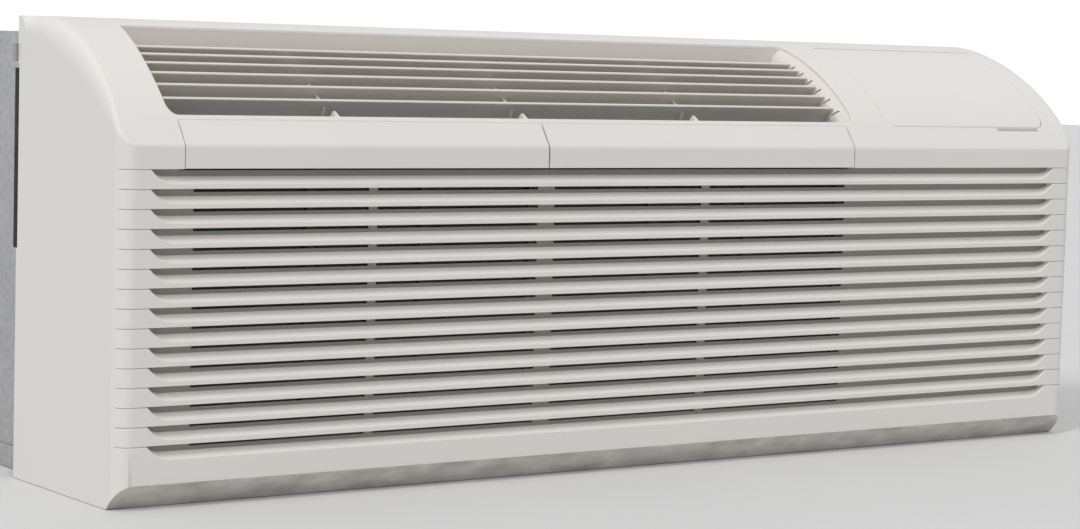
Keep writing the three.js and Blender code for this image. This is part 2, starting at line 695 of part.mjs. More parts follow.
function makeBlowerWheel() {
  const [x0, x1] = [scrollLeft + 6, scrollRight - 6];
  const middle = (x0 + x1) / 2;
  const discs = [[x0, x0 + 3], [middle - 1.5, middle + 1.5], [x1 - 3, x1]]
    .map(([a, b]) => rodX(a, b, blowerY, blowerHeight, blowerRadius, 24));
  const count = 20;
  const blades = Array.from({ length: count }, (_, i) => {
    const blade = box(x0 + 1, x1 - 1, -0.7, 0.7, blowerRadius - 13, blowerRadius - 0.8);
    blade.rotateX(-0.5).translate(0, 8, -3);
    return blade.rotateX((2 * Math.PI * i) / count).translate(0, blowerY, blowerHeight);
  });
  const bore = rodX(x0 - 1, x1 + 1, blowerY, blowerHeight, 5 + gap, 16);
  return cut(join(discs[0], discs[1], discs[2], blades), bore);
}

const makeBlowerShaft = () => rodX(scrollLeft - 12, scrollRight + 20, blowerY, blowerHeight, 5, 16);

function makeBlowerBearing() {
  const x1 = scrollLeft - 1.5 - gap;
  const ring = rodX(x1 - 9, x1, blowerY, blowerHeight, 15);
  return cut(ring, rodX(x1 - 12, x1 + 2, blowerY, blowerHeight, 5 + gap, 16));
}

function makeIndoorMotor() {
  const x0 = scrollRight + 1.5 + gap;
  const body = rodX(x0 + 6, x0 + 78, blowerY, blowerHeight, 41, 32);
  const flange = rodX(x0, x0 + 3, blowerY, blowerHeight, 47, 32);
  const neck = rodX(x0 + 2, x0 + 8, blowerY, blowerHeight, 20);
  const cap = rodX(x0 + 77, x0 + 86, blowerY, blowerHeight, 20);
  const bore = rodX(x0 - 1, x0 + 22, blowerY, blowerHeight, 5 + gap, 16);
  return cut(join(body, neck, flange, cap), bore);
}

// ---------------------------------------------------------------- bulkhead and fresh-air vent

const bulkheadY = frontOf(scrollBackDepth - 10);
const vent = { x0: scrollRight + 18, x1: scrollRight + 94, z0: chassisHeight - 122, z1: chassisHeight - 62 };
const ventPinY = bulkheadY + sheet + 5;
const ventPinZ = vent.z1 + 9;
const suctionHole = [scrollRight + 22, blowerHeight + 74];
const liquidHole = [scrollRight + 6, 46];

function makeBulkhead() {
  const half = chassisWidth / 2 - 2 * sheet - 2 * gap;
  const plate = box(-half, half, bulkheadY, bulkheadY + sheet, onPan, chassisHeight);
  const ears = [vent.x0 - 12, vent.x1 + 9].map((x) =>
    cut(box(x, x + 3, bulkheadY + sheet - 0.5, ventPinY + 5, ventPinZ - 6, ventPinZ + 6),
      rodX(x - 1, x + 4, ventPinY, ventPinZ, 2 + runningClearance, 16)));
  const [leverX, leverZ] = [leverPivot.x, leverPivot.z];
  const earX = leverX + 4 + gap;
  const leverEar = cut(box(earX, earX + 3, leverPivot.y - 8, bulkheadY + 0.5, leverZ - 8, leverZ + 8),
    rodX(leverX, leverX + 10, leverPivot.y, leverZ, 2.5 + runningClearance, 16));
  const holes = [
    box(vent.x0, vent.x1, bulkheadY - 1, bulkheadY + 3, vent.z0, vent.z1),
    rodY(suctionHole[0], bulkheadY - 2, bulkheadY + 3, suctionHole[1], 12),
    rodY(liquidHole[0], bulkheadY - 2, bulkheadY + 3, liquidHole[1], 8),
  ];
  return cut(join(plate, ears, leverEar), holes);
}

function makeVentDoor() {
  const y0 = bulkheadY + sheet + gap;
  const plate = box(vent.x0 - 5, vent.x1 + 5, y0, y0 + 2, vent.z0 - 5, ventPinZ);
  const knuckles = [[vent.x0 - 5, vent.x0 + 8], [vent.x1 - 8, vent.x1 + 5]].map(([x0, x1]) =>
    rodX(x0, x1, ventPinY, ventPinZ, 4.4, 20));
  const eye = rodX(vent.x0 - 9, vent.x1 + 9, ventPinY, ventPinZ, 2 + runningClearance, 16);
  return cut(join(plate, knuckles), eye);
}

const makeVentPin = () => rodX(vent.x0 - 14, vent.x1 + 14, ventPinY, ventPinZ, 2, 16);

const leverPivot = { x: scrollRight + 40, y: bulkheadY - 16, z: chassisHeight - 34 };

function makeVentLever() {
  const { x, y, z } = leverPivot;
  const side = [[y + 5, z - 5], [y + 5, z + 5], [y - 40, z + 7],
    [y - 54, z + 4], [y - 54, z - 3], [y - 40, z - 4]];
  const arm = prismX(side, x, x + 4);
  const pivot = rodX(x + 3, x + 4 + 2 * gap + 6, y, z, 2.5, 16);
  const knob = rodX(x - 8, x + 1, y - 47, z + 1, 6, 20);
  return join(arm, pivot, knob);
}

// ---------------------------------------------------------------- chassis

function makeBasePan() {
  const half = chassisWidth / 2;
  const front = frontOf(coverDepth - kickDepth - 6);
  const body = box(-half, half, front, chassisBack, 0, panFlange);
  const hollow = box(-half + sheet, half - sheet,
    front + sheet, chassisBack - sheet, panFloor, panFlange + 1);
  const drains = [-300, 300].map((x) => rodZ(x, chassisBack - 60, -1, 5, 6, 16));
  return cut(body, hollow, drains);
}

const earHeight = 15;

// upright side sheet with the flange that seats against the wall sleeve, and its small mounting ear
function makeSideBrace(side) {
  const face = side * (chassisWidth / 2 - sheet - gap);
  const span = (a, b) => [Math.min(a, b), Math.max(a, b)];
  const flangeBack = coverBack + 1.5 + sheet;
  const top = chassisHeight - 4;
  const plateFront = Math.min(flangeBack - sheet, bulkheadY - 6.5);
  const plate = box(...span(face, face - side * sheet), plateFront, 22, onPan, top);
  const flange = box(...span(face, side * (coverWidth / 2 - 5)),
    flangeBack - sheet, flangeBack, panFlange + 4, top);
  const earTop = coverHeight - 23.5;
  const ear = box(...span(face, side * (coverWidth / 2 + 4.5)),
    flangeBack - sheet, flangeBack, earTop - earHeight, earTop);
  const screwHoles = [70, chassisHeight / 2, chassisHeight - 54].map((z) =>
    rodY(side * (chassisWidth / 2 + 6), flangeBack - 3, flangeBack + 1, z, 2.6, 12));
  return cut(join(plate, flange, ear), screwHoles);
}

function makeTopBrace() {
  const y0 = bulkheadY + sheet + gap;
  return box(clipX + 20, clipX + 50, y0, chassisBack - 10, coilHeight + gap + 2, coilHeight + gap + 4);
}

// ---------------------------------------------------------------- outdoor air path

const coilHeight = chassisHeight - 10;
const tubeTop = coilHeight - 50;
const outdoorCoilHalf = chassisWidth / 2 - 32;
const outdoorCoilY = [chassisBack - 42, chassisBack - 6];
const shroudY = outdoorCoilY[0] - 32;

const makeOutdoorCoil = () =>
  makeCoil(-outdoorCoilHalf, outdoorCoilHalf, ...outdoorCoilY, onPan + 2, coilHeight, 25);

function makeFanShroud() {
  const half = outdoorCoilHalf - 2;
  const back = outdoorCoilY[0] - gap;
  const body = box(-half, half, shroudY, back, onPan, coilHeight);
  const hollow = box(-half + sheet, half - sheet,
    shroudY + sheet, back + 1, onPan + sheet, coilHeight - sheet);
  const orifice = fanRadius + 6;
  const ring = rodY(fanX, shroudY - 14, shroudY + 0.5, fanHeight, orifice + sheet, 48);
  const bore = rodY(fanX, shroudY - 15, shroudY + 3, fanHeight, orifice, 48);
  return cut(join(cut(body, hollow), ring), bore);
}

function makeOutdoorFan() {
  const [y0, y1] = [shroudY - 40, shroudY - 4];
  const hub = rodY(fanX, y0, y1 - 6, fanHeight, 26, 24);
  const slinger = cut(rodY(fanX, y1 - 14, y1, fanHeight, fanRadius, 48),
    rodY(fanX, y0, y1 + 1, fanHeight, fanRadius - 3, 48));
  const blades = Array.from({ length: 5 }, (_, i) => {
    const tip = fanRadius - 1.5;
    const blade = prismY([[-34, 20], [34, 20], [48, 80], [30, tip], [-52, tip], [-50, 70]], -1.2, 1.2);
    blade.rotateZ(0.34);
    return blade.rotateY((2 * Math.PI * i) / 5).translate(fanX, (y0 + y1) / 2 - 2, fanHeight);
  });
  const bore = rodY(fanX, y0 - 1, y1, fanHeight, 5 + gap, 16);
  return cut(join(hub, blades, slinger), bore);
}

const fanMotorY = [shroudY - 140, shroudY - 62];
const makeFanShaft = () => rodY(fanX, fanMotorY[1] - 14, shroudY - 12, fanHeight, 5, 16);

function makeOutdoorMotor() {
  const body = rodY(fanX, ...fanMotorY, fanHeight, 44, 32);
  const cap = rodY(fanX, fanMotorY[0] - 8, fanMotorY[0] + 1, fanHeight, 20);
  const boss = rodY(fanX, fanMotorY[1] - 1, fanMotorY[1] + 6, fanHeight, 16);
  return cut(join(body, cap, boss), rodY(fanX, fanMotorY[1] - 18, fanMotorY[1] + 8, fanHeight, 5 + gap, 16));
}

function makeMotorBracket() {
  const y0 = (fanMotorY[0] + fanMotorY[1]) / 2;
  const upright = prismY([[fanX - 90, onPan], [fanX + 90, onPan], [fanX + 58, fanHeight + 40],
    [fanX + 30, fanHeight + 60], [fanX - 30, fanHeight + 60], [fanX - 58, fanHeight + 40]], y0, y0 + 2.5);
  const foot = box(fanX - 90, fanX + 90, y0, y0 + 34, onPan, onPan + 2.5);
  return cut(join(upright, foot), rodY(fanX, y0 - 1, y0 + 4, fanHeight, 44 + gap, 32));
}

// ---------------------------------------------------------------- refrigerant circuit

const footHeight = 18;
const footCircle = compressorRadius + 20;
const compressorFloor = onPan + footHeight + gap;
const compressorTop = compressorFloor + 205;
const footAngles = [90, 210, 330].map(THREE.MathUtils.degToRad);
const footPlaces = footAngles.map((angle) =>
  [compressorX + footCircle * Math.cos(angle), compressorY + footCircle * Math.sin(angle)]);

function makeCompressor() {
  const r = compressorRadius;
  const [z0, z1] = [compressorFloor, compressorTop];
  const shell = turned([[0, z0], [r - 18, z0], [r - 4, z0 + 8], [r, z0 + 20], [r, z1 - 30], [r - 6, z1 - 14],
    [r - 26, z1 - 3], [0, z1]], compressorX, compressorY, 36);
  const legs = footAngles.map((angle) => {
    const leg = box(0, footCircle + 16, -17, 17, 0, 3);
    return leg.rotateZ(angle).translate(compressorX, compressorY, z0);
  });
  return join(shell, legs);
}

const makeCompressorFoot = ([x, y]) => turned([[0, onPan], [13, onPan], [13, onPan + 5], [9, onPan + 8],
  [11, onPan + footHeight], [0, onPan + footHeight]], x, y, 14);

function makeTerminalCover() {
  const seat = compressorTop + gap;
  const profile = [[0, seat], [22, seat], [22, seat + 17.7], [16, seat + 23.7], [0, seat + 23.7]];
  return turned(profile, compressorX, compressorY, 24);
}

const accumulator = { x: compressorX - compressorRadius - 36, z0: 72, z1: 196, radius: 24 };

function makeAccumulator() {
  const { x, z0, z1, radius } = accumulator;
  const profile = [[0, z0], [radius - 10, z0 + 2], [radius, z0 + 12],
    [radius, z1 - 12], [radius - 10, z1 - 2], [0, z1]];
  const can = turned(profile, x, compressorY, 28);
  const bend = tube([[x, compressorY, z0 + 4], [x, compressorY, z0 - 12], [x + 7, compressorY, z0 - 22],
    [x + 18, compressorY, z0 - 24], [compressorX - compressorRadius - gap, compressorY, z0 - 24]], 5, 14, 8);
  return join(can, bend);
}

function makeSuctionTube() {
  const coilEnd = coilRight + gap;
  const depth = coilFront - 11;
  const exit = coilTop - 34;
  const [holeX, holeZ] = suctionHole;
  const { x, z1 } = accumulator;
  const indoors = [[coilEnd, frontOf(depth), exit], [coilEnd + 26, frontOf(depth), exit + 1],
    [holeX, frontOf(depth - 26), exit + 3], [holeX, frontOf(70), holeZ - 1]];
  const outdoors = [[holeX, bulkheadY, holeZ], [holeX + 10, bulkheadY + 40, holeZ + 6],
    [x - 12, compressorY - 14, z1 + 54], [x, compressorY, z1 + 40], [x, compressorY, z1 + gap]];
  return tube([...indoors, ...outdoors], 6.3, 30);
}

function makeDischargeTube() {
  const x = compressorX + 34;
  const end = outdoorCoilHalf + gap;
  const y = (outdoorCoilY[0] + outdoorCoilY[1]) / 2 - 11;
  const rise = [[x, compressorY, compressorTop - 2.3], [x, compressorY, tubeTop - 34],
    [x + 10, compressorY + 20, tubeTop - 6], [x + 50, compressorY + 70, tubeTop + 2]];
  const run = [[end + 12, shroudY - 20, tubeTop - 2], [end + 19, y - 14, tubeTop - 24],
    [end + 14, y, tubeTop - 39], [end + gap, y, tubeTop - 39]];
  return tube([...rise, ...run], 4.8, 26);
}

const drierPlace = { x: liquidHole[0], y0: bulkheadY + 44, y1: bulkheadY + 124, z: 46 };

function makeFilterDrier() {
  const { x, y0, y1, z } = drierPlace;
  const body = rodY(x, y0 + 10, y1 - 10, z, 12, 20);
  const ends = [[y0, y0 + 11], [y1 - 11, y1]].map(([a, b]) => rodY(x, a, b, z, 5.5, 16));
  return join(body, ends);
}

function makeLiquidTube() {
  const end = outdoorCoilHalf + gap;
  const y = (outdoorCoilY[0] + outdoorCoilY[1]) / 2 - 11;
  const { x, y1, z } = drierPlace;
  return tube([[end, y, 60], [end + 14, y, 60], [end + 18, y - 24, 52],
    [end - 6, shroudY - 18, 44], [end - 60, shroudY - 20, 40], [x + 60, shroudY - 20, 40],
    [x + 6, shroudY - 40, 42], [x, y1 + 20, z], [x, y1 + gap, z]], 4.8, 34);
}

function makeCapillaryTube() {
  const { x, y0, z } = drierPlace;
  const depth = coilFront - 11;
  const along = scrollRight + 6;
  return tube([[x, y0 - gap, z], [x, bulkheadY + 10, z], [x, bulkheadY - 20, z],
    [along, frontOf(60), 44], [along, frontOf(depth - 24), 44],
    [coilRight + 20, frontOf(depth), 46], [coilRight + gap, frontOf(depth), 46]], 3, 30, 6);
}

// ---------------------------------------------------------------- materials

const finishes = {
  cover: [0xe4e0da, 0.55, 0],
  grille: [0xe0dcd5, 0.55, 0],
  panel: [0x8f8d88, 0.6, 0],
  button: [0xd9d6cf, 0.5, 0],
  lens: [0x16181a, 0.15, 0],
  filterMesh: [0x55585a, 0.9, 0],
  foam: [0x2b2b2b, 0.95, 0],
  zinc: [0xb4b8ba, 0.45, 0.8],
  steel: [0x9da1a3, 0.35, 0.9],
  fins: [0xc3c7c9, 0.4, 0.9],
  copper: [0xb5724a, 0.35, 1],
  black: [0x1f2021, 0.5, 0],
  rubber: [0x191919, 0.9, 0],
  board: [0x2d5a3a, 0.6, 0],
};

function material(name) {
  const [color, roughness, metalness] = finishes[name];
  return new THREE.MeshStandardMaterial({ color, roughness, metalness });
}

// ---------------------------------------------------------------- assembly

const unit = new THREE.Group();

function add(name, geometry, finish, parent = unit) {
  const mesh = new THREE.Mesh(geometry, material(finish));
  mesh.name = name;
  parent.add(mesh);
  return mesh;
}

add("front_cover", makeFrontCover(), "cover");
add("discharge_grille", makeDischargeGrille(), "grille");
add("control_door", makeControlDoor(), "cover");
add("door_hinge_pin_left", makeHingePin(doorSpan[0] - 8, doorSpan[0] + 12), "steel");
add("door_hinge_pin_right", makeHingePin(doorSpan[1] - 12, doorSpan[1] + 8), "steel");

["left", "right"].forEach((side, index) => {
  add(`filter_handle_${side}`, makeFilterHandle(index), "cover");
  add(`filter_frame_${side}`, makeFilterFrame(index), "black");
  add(`filter_mesh_${side}`, makeFilterMesh(index), "filterMesh");
  add(`edge_gasket_${side}`, makeEdgeGasket(index === 0 ? -1 : 1), "foam");
  add(`side_brace_${side}`, makeSideBrace(index === 0 ? -1 : 1), "zinc");
});

const panel = new THREE.Group();
panel.position.set((doorSpan[0] + doorSpan[1]) / 2, frontOf(panelDepth), panelHeight);
panel.rotation.x = panelTilt;
unit.add(panel);
add("control_panel", makeControlPanel(), "panel", panel);
add("display_lens", makeDisplayLens(), "lens", panel);
Object.entries(buttons).forEach(([name, [x, y]]) => {
  add(name, makeButton(), "button", panel).position.set(x, y, 0);
});

add("cover_clip", makeCoverClip(), "steel");
add("control_box", makeControlBox(), "zinc");
add("control_box_lid", makeControlBoxLid(), "zinc");
add("control_board", makeControlBoard(), "board");
add("run_capacitor", makeRunCapacitor(), "steel");
add("cord_bushing", makeCordBushing(), "rubber");

add("indoor_coil", makeIndoorCoil(), "fins");
add("drain_pan", makeDrainPan(), "black");
add("heater_element", makeHeaterElement(), "steel");
add("blower_scroll", makeBlowerScroll(), "zinc");
add("blower_wheel", makeBlowerWheel(), "black");
add("blower_shaft", makeBlowerShaft(), "steel");
add("blower_bearing", makeBlowerBearing(), "rubber");
add("indoor_motor", makeIndoorMotor(), "black");

add("bulkhead", makeBulkhead(), "zinc");
add("vent_door", makeVentDoor(), "zinc");
add("vent_pin", makeVentPin(), "steel");
add("vent_lever", makeVentLever(), "black");

add("base_pan", makeBasePan(), "zinc");
add("top_brace", makeTopBrace(), "zinc");
add("outdoor_coil", makeOutdoorCoil(), "fins");
add("fan_shroud", makeFanShroud(), "zinc");
add("outdoor_fan", makeOutdoorFan(), "black");
add("fan_shaft", makeFanShaft(), "steel");
add("outdoor_motor", makeOutdoorMotor(), "black");
add("motor_bracket", makeMotorBracket(), "zinc");

add("compressor", makeCompressor(), "black");
footPlaces.forEach((place, index) =>
  add(`compressor_foot_${index + 1}`, makeCompressorFoot(place), "rubber"));
add("terminal_cover", makeTerminalCover(), "black");
add("accumulator", makeAccumulator(), "black");
add("filter_drier", makeFilterDrier(), "copper");
add("suction_tube", makeSuctionTube(), "copper");
add("discharge_tube", makeDischargeTube(), "copper");
add("liquid_tube", makeLiquidTube(), "copper");
add("capillary_tube", makeCapillaryTube(), "copper");

export default unit;
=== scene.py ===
"""Packaged terminal air conditioner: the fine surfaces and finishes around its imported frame.

Shapes are worked out in millimetres in the cover's own coordinates: x from its left side, depth in
front of its open back, height above the plane it stands on. place() turns them into the frame's metres.
"""

import math

import bmesh
import bpy
import numpy as np
from mathutils import Matrix, Vector
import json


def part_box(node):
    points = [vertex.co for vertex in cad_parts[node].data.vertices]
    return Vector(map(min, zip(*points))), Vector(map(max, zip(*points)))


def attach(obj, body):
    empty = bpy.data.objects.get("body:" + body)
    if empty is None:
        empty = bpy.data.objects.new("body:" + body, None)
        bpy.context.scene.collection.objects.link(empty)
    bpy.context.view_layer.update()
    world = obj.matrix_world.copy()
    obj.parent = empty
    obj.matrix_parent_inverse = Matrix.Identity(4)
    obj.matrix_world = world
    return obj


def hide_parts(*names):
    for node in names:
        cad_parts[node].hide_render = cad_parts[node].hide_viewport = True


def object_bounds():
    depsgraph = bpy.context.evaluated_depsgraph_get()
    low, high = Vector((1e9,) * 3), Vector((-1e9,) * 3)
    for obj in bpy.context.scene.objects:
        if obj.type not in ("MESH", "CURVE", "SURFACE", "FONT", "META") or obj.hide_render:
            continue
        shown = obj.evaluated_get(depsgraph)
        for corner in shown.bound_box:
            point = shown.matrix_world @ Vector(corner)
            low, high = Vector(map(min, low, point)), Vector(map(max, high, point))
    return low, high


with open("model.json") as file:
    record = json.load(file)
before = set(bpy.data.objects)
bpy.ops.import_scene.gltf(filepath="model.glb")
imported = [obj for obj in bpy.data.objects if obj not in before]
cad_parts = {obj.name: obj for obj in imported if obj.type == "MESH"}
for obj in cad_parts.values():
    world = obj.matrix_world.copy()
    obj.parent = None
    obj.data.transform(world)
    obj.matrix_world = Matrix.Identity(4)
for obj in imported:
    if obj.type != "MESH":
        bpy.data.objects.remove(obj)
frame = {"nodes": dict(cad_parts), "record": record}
cad_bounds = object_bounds()
nodes = frame["nodes"]
body_of = {node: body for body, members in frame["record"]["behaviour"]["bodies"].items() for node in members}
slot_of = {row["node"]: row["material_slot"] for row in frame["record"]["subparts"]}

MM = 0.001
cover_low, cover_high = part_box("front_cover")


def place(x, depth, height):
    return Vector((cover_low.x + x * MM, cover_high.y - depth * MM, height * MM))


def mm_box(node):
    """Edges of a node in the cover's coordinates: x0, x1, depth0, depth1, height0, height1."""
    low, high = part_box(node)
    x = [(value - cover_low.x) / MM for value in (low.x, high.x)]
    depth = [(cover_high.y - value) / MM for value in (high.y, low.y)]
    return (*x, *depth, low.z / MM, high.z / MM)


# ---------------------------------------------------------------- sizes

WIDTH = (cover_high.x - cover_low.x) / MM
DEPTH = (cover_high.y - cover_low.y) / MM
HEIGHT = cover_high.z / MM
WALL = 3.0
CORNER = 14.0  # upright edges between the sides and the front
RIDGE_DROP = 101.0  # from the cover's top to the ridge above the handles
BAND_RUN = 14.5  # sloped band above the ridge
BAND_RISE = 21.0
RIDGE_ROUND = 6.0
TOP_FLAT = 30.0
KICK_HEIGHT = 20.0
KICK_DEPTH = 18.7
KICK_ROUND = 2.0

BEHIND = -20.0  # lines of the cover start this far behind its open back
HOLLOW_START = -10.0  # and hollows start here, so that they cut the open back clean
ABOVE = HEIGHT + 20.0  # cutters end here, clear of the top
OUTLET_FLOOR = 60.0  # openings in the top are cut down to this far below the lip

RIDGE = HEIGHT - RIDGE_DROP
LIP_DEPTH = DEPTH - BAND_RUN
LIP = RIDGE + BAND_RISE
HANDLE_GAP = 0.3
LOUVRE_TOP = mm_box("filter_handle_left")[4] - HANDLE_GAP
LOUVRE_PITCH = 15.82
LOUVRE_ROWS = 15
LOUVRE_DEPTH = 7.6
LOUVRE_BACK = 6.1  # height of the upright back of a recess
LOUVRE_DROP = 11.92  # height of a recess at the face
LOUVRE_WALL = 2.2
GROOVE = 1.3  # thin groove that runs on from a recess to the cover's edge
GROOVE_DEPTH = 1.3
RECESS_LEFT = 25.9
RECESS_RIGHT = WIDTH - 30.0
RECESS_SWEEP = 22.0  # length of a recess's curved end

# ---------------------------------------------------------------- lines


def bezier(points, steps):
    p0, p1, p2, p3 = (np.array(p, float) for p in points)
    line = []
    for t in np.linspace(0, 1, steps + 1):
        s = 1 - t
        line.append(tuple(s**3 * p0 + 3 * s * s * t * p1 + 3 * s * t * t * p2 + t**3 * p3))
    return line


def fillet(before, corner, after, radius, steps=3):
    """Points of the arc that rounds a corner between two straight lines."""
    corner = np.array(corner, float)
    a = np.array(before, float) - corner
    b = np.array(after, float) - corner
    a /= np.linalg.norm(a)
    b /= np.linalg.norm(b)
    half = math.acos(max(-1.0, min(1.0, float(a @ b)))) / 2
    reach = radius / math.tan(half)
    middle = corner + (a + b) / np.linalg.norm(a + b) * radius / math.sin(half)
    start = corner + a * reach - middle
    end = corner + b * reach - middle
    turn = math.pi - 2 * half
    points = []
    for i in range(steps + 1):
        share = i / steps
        weights = (math.sin((1 - share) * turn), math.sin(share * turn))
        points.append(tuple(middle + (start * weights[0] + end * weights[1]) / math.sin(turn)))
    return points


def offset_closed(points, distance):
    """A closed outline moved outwards by a distance; its points run anticlockwise."""
    p = np.array(points, float)
    ahead = np.roll(p, -1, 0) - p
    ahead /= np.linalg.norm(ahead, axis=1)[:, None]
    normal = np.stack([ahead[:, 1], -ahead[:, 0]], 1)
    before = np.roll(normal, 1, 0)
    share = distance / (1 + np.sum(normal * before, 1))
    return [tuple(row) for row in p + share[:, None] * (normal + before)]


TOP_LINE = bezier([(TOP_FLAT, HEIGHT), (72, HEIGHT), (146, HEIGHT - 31), (LIP_DEPTH, LIP)], 26)
TOP_LINE += fillet((LIP_DEPTH, LIP), (DEPTH, RIDGE), (DEPTH, 0), RIDGE_ROUND, 4)
TOP_LINE = [(BEHIND, HEIGHT)] + TOP_LINE
KICK_LINE = [(BEHIND, 0), (DEPTH - KICK_DEPTH, 0)]
KICK_LINE += fillet((DEPTH - KICK_DEPTH, 0), (DEPTH, KICK_HEIGHT), (DEPTH, HEIGHT), KICK_ROUND, 3)

# rounding between the top and the sides: depth, its width across the top, its drop down the side
SIDE_ROUND = np.array([
    (0, 0.8, 0.8), (7, 0.8, 0.8), (8.5, 4, 4), (10.5, 9, 9), (13, 13, 13), (17, 15.6, 15.6),
    (46, 15.8, 16.5), (83, 13.5, 18.5), (121, 10.5, 19.5), (147, 8, 19),
    (171, 5.5, 15), (182, 4, 9), (192, 2.6, 3), (DEPTH, 0.5, 0.5),
])
LEAST_ROUND = 0.4


def surface(depth, inset=0.0):
    """Height of the cover's top surface at a depth, or of the surface that lies an inset below it."""
    if inset == 0:
        return float(np.interp(depth, *zip(*TOP_LINE)))
    p = np.array(TOP_LINE)
    run = np.gradient(p, axis=0)
    run /= np.linalg.norm(run, axis=1)[:, None]
    inner = p + inset * np.stack([run[:, 1], -run[:, 0]], 1)
    return float(np.interp(depth, inner[:, 0], inner[:, 1]))


# ---------------------------------------------------------------- solids


class Shape:
    """Points and faces of one piece, mostly gathered from closed lofts."""

    def __init__(self):
        self.points = []
        self.faces = []

    def loft(self, rings):
        base = len(self.points)
        count = len(rings[0])
        for ring in rings:
            self.points.extend(ring)
        for row in range(len(rings) - 1):
            start = base + row * count
            for i in range(count):
                j = (i + 1) % count
                self.faces.append((start + i, start + j, start + count + j, start + count + i))
        last = base + (len(rings) - 1) * count
        self.faces.append(tuple(base + i for i in reversed(range(count))))
        self.faces.append(tuple(last + i for i in range(count)))
        return self

    def box(self, x0, x1, d0, d1, z0, z1):
        ring = [(x0, d0), (x1, d0), (x1, d1), (x0, d1)]
        return self.loft([[(x, d, z) for x, d in ring] for z in (z0, z1)])

    def prism_x(self, outline, x0, x1):
        """Solid with the same outline of (depth, height) from one x to another."""
        return self.loft([[(x, d, z) for d, z in outline] for x in (x0, x1)])

    def tube(self, path, radius, sides=12):
        p = np.array(path, float)
        run = np.gradient(p, axis=0)
        run /= np.linalg.norm(run, axis=1)[:, None]
        side = np.cross(run[0], (0.13, 0.31, 0.94))
        rings = []
        for centre, ahead in zip(p, run):
            side = side - ahead * (side @ ahead)
            side /= np.linalg.norm(side)
            up = np.cross(ahead, side)
            turns = [2 * math.pi * i / sides for i in range(sides)]
            rings.append([tuple(centre + radius * (math.cos(t) * side + math.sin(t) * up)) for t in turns])
        return self.loft(rings)

    def turned(self, profile, x, depth, sides):
        """Solid of revolution about an upright axis; the profile is (radius, height), ends near the axis."""
        turns = [2 * math.pi * i / sides for i in range(sides)]
        rings = [[(x + r * math.cos(t), depth + r * math.sin(t), z) for t in turns] for r, z in profile]
        return self.loft(rings)

    def make(self, name):
        mesh = bpy.data.meshes.new(name)
        mesh.from_pydata([place(*p) for p in self.points], [], self.faces)
        thing = bpy.data.objects.new(name, mesh)
        bpy.context.scene.collection.objects.link(thing)
        edit = bmesh.new()
        edit.from_mesh(mesh)
        bmesh.ops.recalc_face_normals(edit, faces=edit.faces)
        edit.to_mesh(mesh)
        edit.free()
        return thing


def settle(thing):
    """Replaces a thing's mesh by the result of its modifiers."""
    depsgraph = bpy.context.evaluated_depsgraph_get()
    mesh = bpy.data.meshes.new_from_object(thing.evaluated_get(depsgraph))
    thing.modifiers.clear()
    thing.data = mesh
    return thing


def carve(thing, cutter, how="DIFFERENCE"):
    """Cuts a thing with a closed cutter, which is used up."""
    cut = thing.modifiers.new("cut", "BOOLEAN")
    cut.operation = how
    cut.solver = "EXACT"
    cut.object = cutter
    settle(thing)
    bpy.data.objects.remove(cutter)
    return thing


def soften(thing, width, steps=2, angle=30):
    """Rounds a piece's sharp edges."""
    bevel = thing.modifiers.new("edges", "BEVEL")
    bevel.width = width * MM
    bevel.segments = steps
    bevel.limit_method = "ANGLE"
    bevel.angle_limit = math.radians(angle)
    bevel.use_clamp_overlap = True
    return settle(thing)


def shade(thing, angle=38):
    """Smooth shading that keeps large flat faces flat."""
    thing.data.shade_smooth()
    thing.data.set_sharp_from_angle(angle=math.radians(angle))
    weigh = thing.modifiers.new("normals", "WEIGHTED_NORMAL")
    weigh.keep_sharp = True
    weigh.weight = 90
    return settle(thing)


def piece(thing, body, finishes, replaces):
    """Finishes a thing and hands it to the frame. Clearing materials resets marks, so they are put back."""
    marks = [face.material_index for face in thing.data.polygons]
    thing.data.materials.clear()
    for finish in finishes:
        thing.data.materials.append(finish)
    thing.data.polygons.foreach_set("material_index", marks)
    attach(thing, body)
    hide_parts(*replaces)


# ---------------------------------------------------------------- finishes


